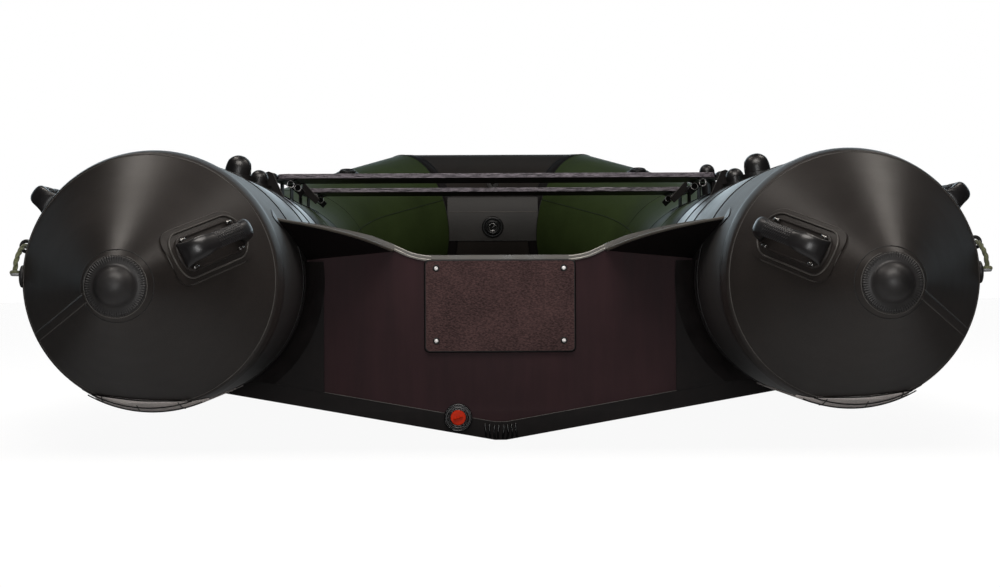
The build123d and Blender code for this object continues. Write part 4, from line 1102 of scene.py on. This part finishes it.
for spot, tail, place, drop in handles[:4]:
    for k, (x, y) in enumerate(STUDS):
        stud = evenly([place(x - STUD_HALF, y, STUD_UP), place(x + STUD_HALF, y, STUD_UP)], 0.003)
        swept(f"handle_stud_{spot}_{k}{tail}", stud, oval(STUD_R, STUD_R, 10), steel, "rubber")
print("wear seams and 16 studs")

# %% [markdown]
# Forward of the straight tubes the line of the boat rises, bends inward and meets the bow's short middle
# tube in a mitre. Places on that skin are found along a chain of points on the tubes' centre line, each
# with its own tangent. The chain is made of straight runs with an arc at each corner.

# %% Centre line of the bow
BOW_X, RISE_Y, CORNER_Y, CORNER_RISE, CORNER_R, RISE_SHARE = 0.302, 1.620, 1.960, 0.068, 0.900, 0.3
COLOUR_SEAM_Y = 0.700
line_side = Vector((TUBE_X, COLOUR_SEAM_Y, TUBE_Z))
line_rise = Vector((TUBE_X, RISE_Y, TUBE_Z))
line_corner = Vector((TUBE_X, CORNER_Y, TUBE_Z + CORNER_RISE))
line_bow = Vector((BOW_X, BOW_Y, BOW_Z))


def corner_places(before, at, after, radius):
    """Points of the arc that rounds the corner at one point of the chain."""
    a, b = (before - at).normalized(), (after - at).normalized()
    half = a.angle(b) / 2
    axis = (a + b).normalized()
    centre = at + axis * (radius / sin(half))
    return arc_through(at + a * radius / tan(half), centre - axis * radius, at + b * radius / tan(half), 24)


rise_turn = atan2(CORNER_RISE, CORNER_Y - RISE_Y)
rise_radius = RISE_SHARE * (CORNER_Y - RISE_Y) / tan(rise_turn / 2)
bow_line = [line_side] + corner_places(line_side, line_rise, line_corner, rise_radius)
bow_line += corner_places(line_rise, line_corner, line_bow, CORNER_R) + [line_bow]
bow_line = evenly(bow_line, 0.02)
oblique_way = (bow_line[-1] - bow_line[-3]).normalized()
mitre_way = (oblique_way + Vector((-1, 0, 0))).normalized()


def tube_frame(way):
    """Up and inward, square to the way the tube runs."""
    up = (UPRIGHT - way * way.z).normalized()
    return up, -way.cross(up)


def on_bow(i, turn, side):
    """A point on the skin at point i of the bow's line; turn is inward from the top."""
    way = (bow_line[min(i + 1, len(bow_line) - 1)] - bow_line[max(i - 1, 0)]).normalized()
    up, inward = tube_frame(way)
    return mirrored(bow_line[i] + (up * cos(turn) + inward * sin(turn)) * TUBE_R, side)


def ahead_out(angle):
    """The way out of the bow's middle tube; angle is 0 ahead, 90 degrees on top and 180 astern."""
    return Vector((0, cos(angle), sin(angle)))


def on_middle(x, angle, lift=0.0):
    """A point on the skin of the bow's middle tube."""
    return Vector((x, BOW_Y + (TUBE_R + lift) * cos(angle), BOW_Z + (TUBE_R + lift) * sin(angle)))


def on_mitre(turn, v, lift, side):
    """A point beside the mitre: v is how far past it, along the middle tube."""
    up, inward = tube_frame(oblique_way)
    out = up * cos(turn) + inward * sin(turn)
    seam = line_bow + out * TUBE_R
    seam -= oblique_way * ((seam - line_bow).dot(mitre_way) / oblique_way.dot(mitre_way))
    if v < 0:
        return mirrored(seam + oblique_way * v + out * lift, side)
    axis_out = Vector((0, seam.y - line_bow.y, seam.z - line_bow.z)).normalized()
    return mirrored(seam + Vector((-v, 0, 0)) + axis_out * lift, side)


print("bow line of", len(bow_line), "points")

# %% [markdown]
# Where two tubes meet in a mitre, a tape covers the joint inside and out. Tapes also lie over the joints
# of the green tubes and where black meets green. A thin line of glue shows along each edge. On the green
# quarters one seam runs round the bend and three run forward from it.

# %% Tapes of the bow and the green tubes
MITRE_W, GREEN_TAPE_W, COLOUR_TAPE_AFT = 0.030, 0.028, COLOUR_SEAM_Y - 0.034
GREEN_SEAMS = (1.100, 1.480)
QUARTER_RUNS = (radians(62), radians(112), radians(-100))
BEND_SHARE, RUN_BACK, RUN_TWIST = 0.60, 22, 0.25
green_line = moulded("green_line", (24, 34, 17), 0.5, strength=0.1)
bend_i = round(len(bow_line) * BEND_SHARE)
for tail, side in SIDES:
    rows, inner_edge, outer_edge = [], [], []
    for turn in full_turn(120):
        rows.append(across(lambda v, lift: on_mitre(turn, v, lift, side), 0.0, MITRE_W, 0.0012, 0.001))
        inner_edge.append(on_mitre(turn, MITRE_W + 0.0005, 0.0002, side))
        outer_edge.append(on_mitre(turn, 0.0, 0.0004, side))
    tape("mitre_tape" + tail, rows, pvc_dark_and_painted_shade, "pvc_black", closed=True)
    loop_bead("mitre_glue" + tail, inner_edge, 0.0008, dark_glue, "pvc_black", 6)
    loop_bead("mitre_fold" + tail, outer_edge, 0.0016, dark_glue, "pvc_black", 6)
    ring_tape("colour_tape" + tail, COLOUR_TAPE_AFT, COLOUR_SEAM_Y + 0.0006, side, pvc_dark_and_painted_shade, "pvc_black")
    ring_bead("colour_glue" + tail, COLOUR_SEAM_Y + 0.0010, side, 0.0009, dark_glue, "pvc_black")
    for k, y in enumerate(GREEN_SEAMS):
        ring_tape(f"green_tape_{k}{tail}", y, y + GREEN_TAPE_W, side, pvc_green, "pvc_green")
        ring_bead(f"green_glue_{k}{tail}", y - 0.0006, side, 0.0009, green_line, "pvc_green")
    ring = [on_bow(bend_i, turn, side) for turn in full_turn(120)]
    loop_bead("quarter_seam_ring" + tail, ring, 0.0012, green_line, "pvc_green", 6)
    for k, turn in enumerate(QUARTER_RUNS):
        run = []
        for i in range(bend_i - RUN_BACK, len(bow_line)):
            run.append(on_bow(i, turn + (RUN_TWIST * (i - bend_i) / len(bow_line)), side))
        bead(f"quarter_seam_{k}{tail}", evenly(run, 0.012), 0.0012, green_line, "pvc_green")
print("tapes on bow and green tubes")

# %% [markdown]
# The grey panel inside the bow is edged with a line of glue, and a second seam crosses it over the valve.

# %% Lines on the inner panel
PANEL_HALF, PANEL_LOW, PANEL_HIGH, PANEL_SEAM = 0.158, radians(198.0), radians(161.5), radians(174.2)
PANEL_LIFT, EDGE_LIFT = 0.0023, 0.0011
panel_line = moulded("panel_line", (96, 92, 86), 0.4, strength=0.1)
for label, angle, half, material in (("top", PANEL_HIGH, PANEL_HALF, dark_glue),
                                     ("seam", PANEL_SEAM, PANEL_HALF - 0.004, panel_line),
                                     ("low", PANEL_LOW, PANEL_HALF, dark_glue)):
    run = [on_middle(x, angle, PANEL_LIFT) for x in spaced(-half, half, 40)]
    bead("panel_line_" + label, run, 0.0011, material, "pvc_grey")
for tail, side in SIDES:
    run = [on_middle(side * PANEL_HALF, angle, EDGE_LIFT) for angle in spaced(PANEL_HIGH, PANEL_LOW, 24)]
    bead("panel_line" + tail, run, 0.0014, dark_glue, "pvc_grey")
print("5 lines on the inner panel")

# %% [markdown]
# An air valve is a moulded ring glued into the tube, and a screwed cap with a grip across it. The cap's
# rim is knurled. The ring and cap are turned on the lathe, and the knurls are short ribs round the rim.

# %% Air valves
RING_PROFILE = [
    # radius, height over the skin
    (0.0, -0.004), (0.037, -0.004), (0.038, 0.001), (0.037, 0.0035), (0.034, 0.0052), (0.030, 0.0056),
    (0.0290, 0.0050), (0.0282, 0.0032), (0.0266, 0.0030), (0.0, 0.0030),
]
CAP_R = 0.026
VALVE_CAP_PROFILE = [
    (0.0, 0.002), (0.025, 0.002), (CAP_R, 0.003), (CAP_R, 0.0110), (0.0245, 0.0132), (0.022, 0.0146),
    (0.019, 0.0152), (0.0176, 0.0128), (0.015, 0.011), (0.0142, 0.0118), (0.012, 0.0122), (0.0108, 0.0106),
    (0.0, 0.0104),
]
KNURLS, KNURL_HEIGHTS = 24, (0.0038, 0.0060, 0.0085, 0.0105)
VALVE_GRIP_HALF, VALVE_TURN, VALVE_SHARE, INNER_VALVE = 0.0105, radians(8.0), 0.43, radians(180.0 + 6.7)


def dressed_valve(name, place, out, along, solid):
    ring = lathe(name + "_ring", RING_PROFILE, place, out, valve_plastic, "valve", 48)
    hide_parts(solid)
    lathe(name + "_cap", VALVE_CAP_PROFILE, place, out, valve_plastic, "valve", 48)
    along = (along - out * along.dot(out)).normalized()
    flank = out.cross(along)
    for k, (a, b) in enumerate(oval(1.0, 1.0, KNURLS)):
        foot = place + (along * a + flank * b) * (CAP_R + 0.0002)
        rib = [foot + out * h for h in KNURL_HEIGHTS]
        swept(f"{name}_knurl_{k}", rib, oval(0.0011, 0.0011, 6), valve_plastic, "valve")
    grip = []
    for x in spaced(-VALVE_GRIP_HALF, VALVE_GRIP_HALF, 12):
        grip.append(place + along * x + out * (0.0118 + 0.0022 * (1 - (x / VALVE_GRIP_HALF) ** 2)))
    swept(name + "_grip", grip, oval(0.0017, 0.0026, 12), glossy_rubber, "valve")
    loop = [place + (along * a + flank * b) * 0.0131 + out * 0.0119 for a, b in oval(1.0, 1.0, 48)]
    loop_bead(name + "_bright_ring", loop, 0.0010, steel, "valve")


up, inward = tube_frame(oblique_way)
valve_out = (up * cos(VALVE_TURN) + inward * sin(VALVE_TURN)).normalized()
valve_place = line_corner + (line_bow - line_corner) * VALVE_SHARE + valve_out * TUBE_R
for tail, side in SIDES:
    turned = [mirrored(v, side) for v in (valve_place, valve_out, oblique_way)]
    dressed_valve("bow_valve_dressed" + tail, *turned, "bow_valve" + tail)
dressed_valve("inner_valve_dressed", on_middle(0.0, INNER_VALVE), ahead_out(INNER_VALVE), Vector((1, 0, 1)),
              "inner_valve")
print("3 air valves")

# %% [markdown]
# Rings and eyes hold ropes. A steel ring hangs in a rubber block on a round base; an eye is a rubber
# arch over the line. Both are small rings swept from a circle. Each line starts with a knot at a lug.

# %% Tow ring, inner ring and line eyes
BASE_RISES = [
    # share of the base's radius, height over the skin
    (0.0, -0.006), (1.0, -0.006), (1.0, 0.0012), (0.97, 0.003), (0.9, 0.0036), (0.78, 0.0036), (0.74, 0.0046),
    (0.62, 0.005), (0.52, 0.005), (0.44, 0.006), (0.0, 0.0062),
]
RINGS = (
    # name, angle on the bow's middle tube, radius, wire, radius of the base, the solid it replaces
    ("tow", radians(-22.0), 0.022, 0.004, 0.045, "tow_ring"),
    ("inner", radians(149.0), 0.013, 0.0025, 0.022, "inner_ring"),
)
EYE_YS, EYE_RISE = (-0.424, 0.060, 0.540, 1.020, 1.452), 0.066
EYE_BASE_R, EYE_R, EYE_WIRE = 0.024, 0.0098, 0.0036
LUG_BASE_R, LUG_SINK = 0.021, 0.0005


def ring_piece(name, centre, u, v, radius, wire, material, slot, steps=48, body="hull"):
    loop = [centre + u * a + v * b for a, b in oval(radius, radius, steps)]
    return loop_bead(name, loop, wire, material, slot, 12, body)


def rubber_base(name, place, out, radius):
    return lathe(name, [(radius * r, h) for r, h in BASE_RISES], place, out, rubber, "rubber", 40)


def off_side(rise, side):
    """The way out of the tube this far round from its widest line, and the way up along the skin."""
    turn = rise / (TUBE_R + LINE_STAND)
    return Vector((side * cos(turn), 0, sin(turn))), Vector((-side * sin(turn), 0, cos(turn)))


for label, angle, radius, wire, base_r, solid in RINGS:
    place, out = on_middle(0.0, angle), ahead_out(angle)
    base = rubber_base(label + "_ring_base", place, out, base_r)
    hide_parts(solid)
    hold = [place + out * h for h in (0.002, 0.006, 0.010, 0.0125)]
    swept(label + "_ring_block", hold, oval(0.6 * radius, 2.4 * wire, 24), rubber, "rubber")
    hung = place + out * (0.005 + radius)
    ring_piece(label + "_ring_wire", hung, out, out.cross(RIGHT), radius, wire, steel, "steel")
light_lug = moulded("light_lug", (126, 128, 130), 0.3, strength=0.1)
for tail, side in SIDES:
    out, flank = off_side(EYE_RISE, side)
    for k, y in enumerate(EYE_YS):
        skin = Vector((side * TUBE_X, y, TUBE_Z)) + out * TUBE_R
        base = rubber_base(f"eye_base_{k}{tail}", skin, out, EYE_BASE_R)
        if k == 0:
            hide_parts("line_eyes" + tail)
        ring_piece(f"eye_arch_{k}{tail}", skin + out * LINE_STAND, out, flank, EYE_R, EYE_WIRE, rubber,
                   "rubber", 36)
    out, flank = off_side(LUG[1], side)
    skin = Vector((side * TUBE_X, LUG[0], TUBE_Z)) + out * (skin_section(LUG[0])[0] - LUG_SINK)
    rubber_base("lug_base" + tail, skin, out, LUG_BASE_R)
    lug, knot = skin + out * 0.0125 + flank * 0.003, skin + out * 0.0160 + flank * 0.0065
    ring_piece("lug_ring" + tail, lug, out, FORWARD, 0.0085, 0.0030, light_lug, "steel", 36)
    ring_piece("line_knot" + tail, knot, out, FORWARD, 0.0050, 0.0046, rope_yarn, "rope", 24)
print("2 rings, 10 eyes and 2 lugs")

# %% [markdown]
# The drain has a flanged ring round its plug, with three raised rims that shine. The trim on the board's
# top edge shines too where it bends down into the cutout, as two fine lines.

# %% Rims of the drain, shine on the trim
DRAIN = Vector((-0.090, -0.009, -0.013))
DRAIN_RIMS = ((0.0278, 0.0016, 0.0008), (0.0215, 0.0017, 0.0006), (0.0178, 0.0012, 0.0008))
TRIM_BEND = ((0.146, 0.3285), (0.156, 0.3294), (0.172, 0.3318), (0.189, 0.336), (0.208, 0.3448),
             (0.224, 0.3522))
TRIM_LINES = ((0.0012, -0.0030), (-0.0060, -0.0034))
for radius, wire, aft in DRAIN_RIMS:
    name, middle = f"drain_rim_{round(radius * 1e4)}", DRAIN + Vector((0, -aft, 0))
    ring_piece(name, middle, RIGHT, UPRIGHT, radius, wire, drain_rubber, "rubber", 60)
plug_ridge = [DRAIN + Vector((x, -0.0046, x * 0.35)) for x in spaced(-0.010, 0.010, 10)]
swept("drain_plug_ridge", plug_ridge, oval(0.0026, 0.0018, 12), orange_plastic, "plug")
trim_shine = moulded("trim_shine", (196, 192, 182), 0.18, strength=0.05, specular=0.6)
for tail, side in SIDES:
    for k, (drop, y) in enumerate(TRIM_LINES):
        run = [Vector((side * x, y, z + drop)) for x, z in TRIM_BEND]
        bead(f"trim_shine_{k}{tail}", evenly(run, 0.005), 0.0009, trim_shine, "edge_trim")
print("3 rims and 4 shine lines")

# %% [markdown]
# Each bench hangs on its two rails by channels, and webbing with a small steel ring is looped under
# each end to tie it down. At the rails' aft ends a stop of folded fabric keeps the bench from running
# off. Flat pieces like these are a polygon with some thickness, their corners eased by a bevel.

# %% Stops, flaps and rings at the benches
RAIL_X, BEAD_Z = TUBE_X - 0.095, TUBE_Z + TUBE_R + 0.0185
STOP_Y, STOP_T, FLAP_T, BENCH_W = 0.5270, 0.0060, 0.0040, 0.220
BENCHES = (("aft", "bench_aft", 0.600), ("fore", "bench_fore", 1.230))
HOOK_X, HOOK_Z, HOOK_IN, STRAP_Z = 0.512, 0.5215, 0.030, 0.5300


def plate_piece(name, outline, y, thick, body, side, ease):
    """A flat piece square to the boat's length: outline in x and z, from y forward by thick."""
    n = len(outline)
    points = [Vector((x * side, depth, z)) for depth in (y, y + thick) for x, z in outline]
    faces = [tuple(range(n)), tuple(reversed(range(n, 2 * n)))] + quads(2, n)
    piece = piece_from(name, points, faces, dull_rubber, "rubber", body, smooth=False)
    bevel = piece.modifiers.new("eased", "BEVEL")
    bevel.width = ease
    bevel.segments = 2


def skin_z(x, lift):
    return TUBE_Z + sqrt((TUBE_R + lift) ** 2 - (TUBE_X - x) ** 2)


stop = [(RAIL_X + 0.011, BEAD_Z + 0.004), (RAIL_X + 0.002, BEAD_Z + 0.0075), (RAIL_X - 0.008, BEAD_Z + 0.004)]
stop += [(RAIL_X + x, skin_z(RAIL_X + x, -0.001)) for x in (-0.036, -0.020, 0.0, 0.020, 0.034)]
flap = [(0.544, 0.557), (0.538, 0.560), (0.496, 0.513), (0.507, 0.500), (0.542, 0.532), (0.545, 0.548)]
for tail, side in SIDES:
    plate_piece("rail_stop" + tail, stop, STOP_Y, STOP_T, "hull", side, 0.0012)
    # The light edge beads on the stops and the flaps are painted highlights along their top edges.
    edge = evenly([Vector((x * side, STOP_Y - 0.0004, z)) for x, z in stop[2:4]], 0.005)
    bead("rail_stop_edge" + tail, edge, 0.0009, painted_highlight_line, "rubber")
    for bench, body, aft_y in BENCHES:
        for end, y, way in (("a", aft_y - 0.0062, 1), ("b", aft_y + BENCH_W + 0.0022, -1)):
            label = f"{bench}_{end}{tail}"
            if (bench, end) != ("aft", "a"):
                plate_piece("bench_flap_" + label, flap, y, FLAP_T, body, side, 0.0010)
                edge = evenly([Vector((x * side, y - 0.0003, z)) for x, z in flap[1:3]], 0.006)
                bead("bench_flap_edge_" + label, edge, 0.0009, painted_highlight_line, "rubber", body)
            ring_y = y + HOOK_IN * way
            centre = Vector((HOOK_X * side, ring_y, HOOK_Z))
            name = "bench_ring_" + label
            ring_piece(name, centre, RIGHT, UPRIGHT, 0.0085, 0.0014, steel, "steel", 32, body)
            strap = []
            for a in spaced(0.0, pi, 12):
                strap.append(Vector((HOOK_X * side + 0.009 * cos(a), ring_y, STRAP_Z + 0.0035 * sin(a))))
            swept("bench_loop_" + label, strap, oval(0.0012, 0.0100, 16), dull_rubber, "rubber", body)
print("2 stops, 6 flaps and 8 rings at the benches")
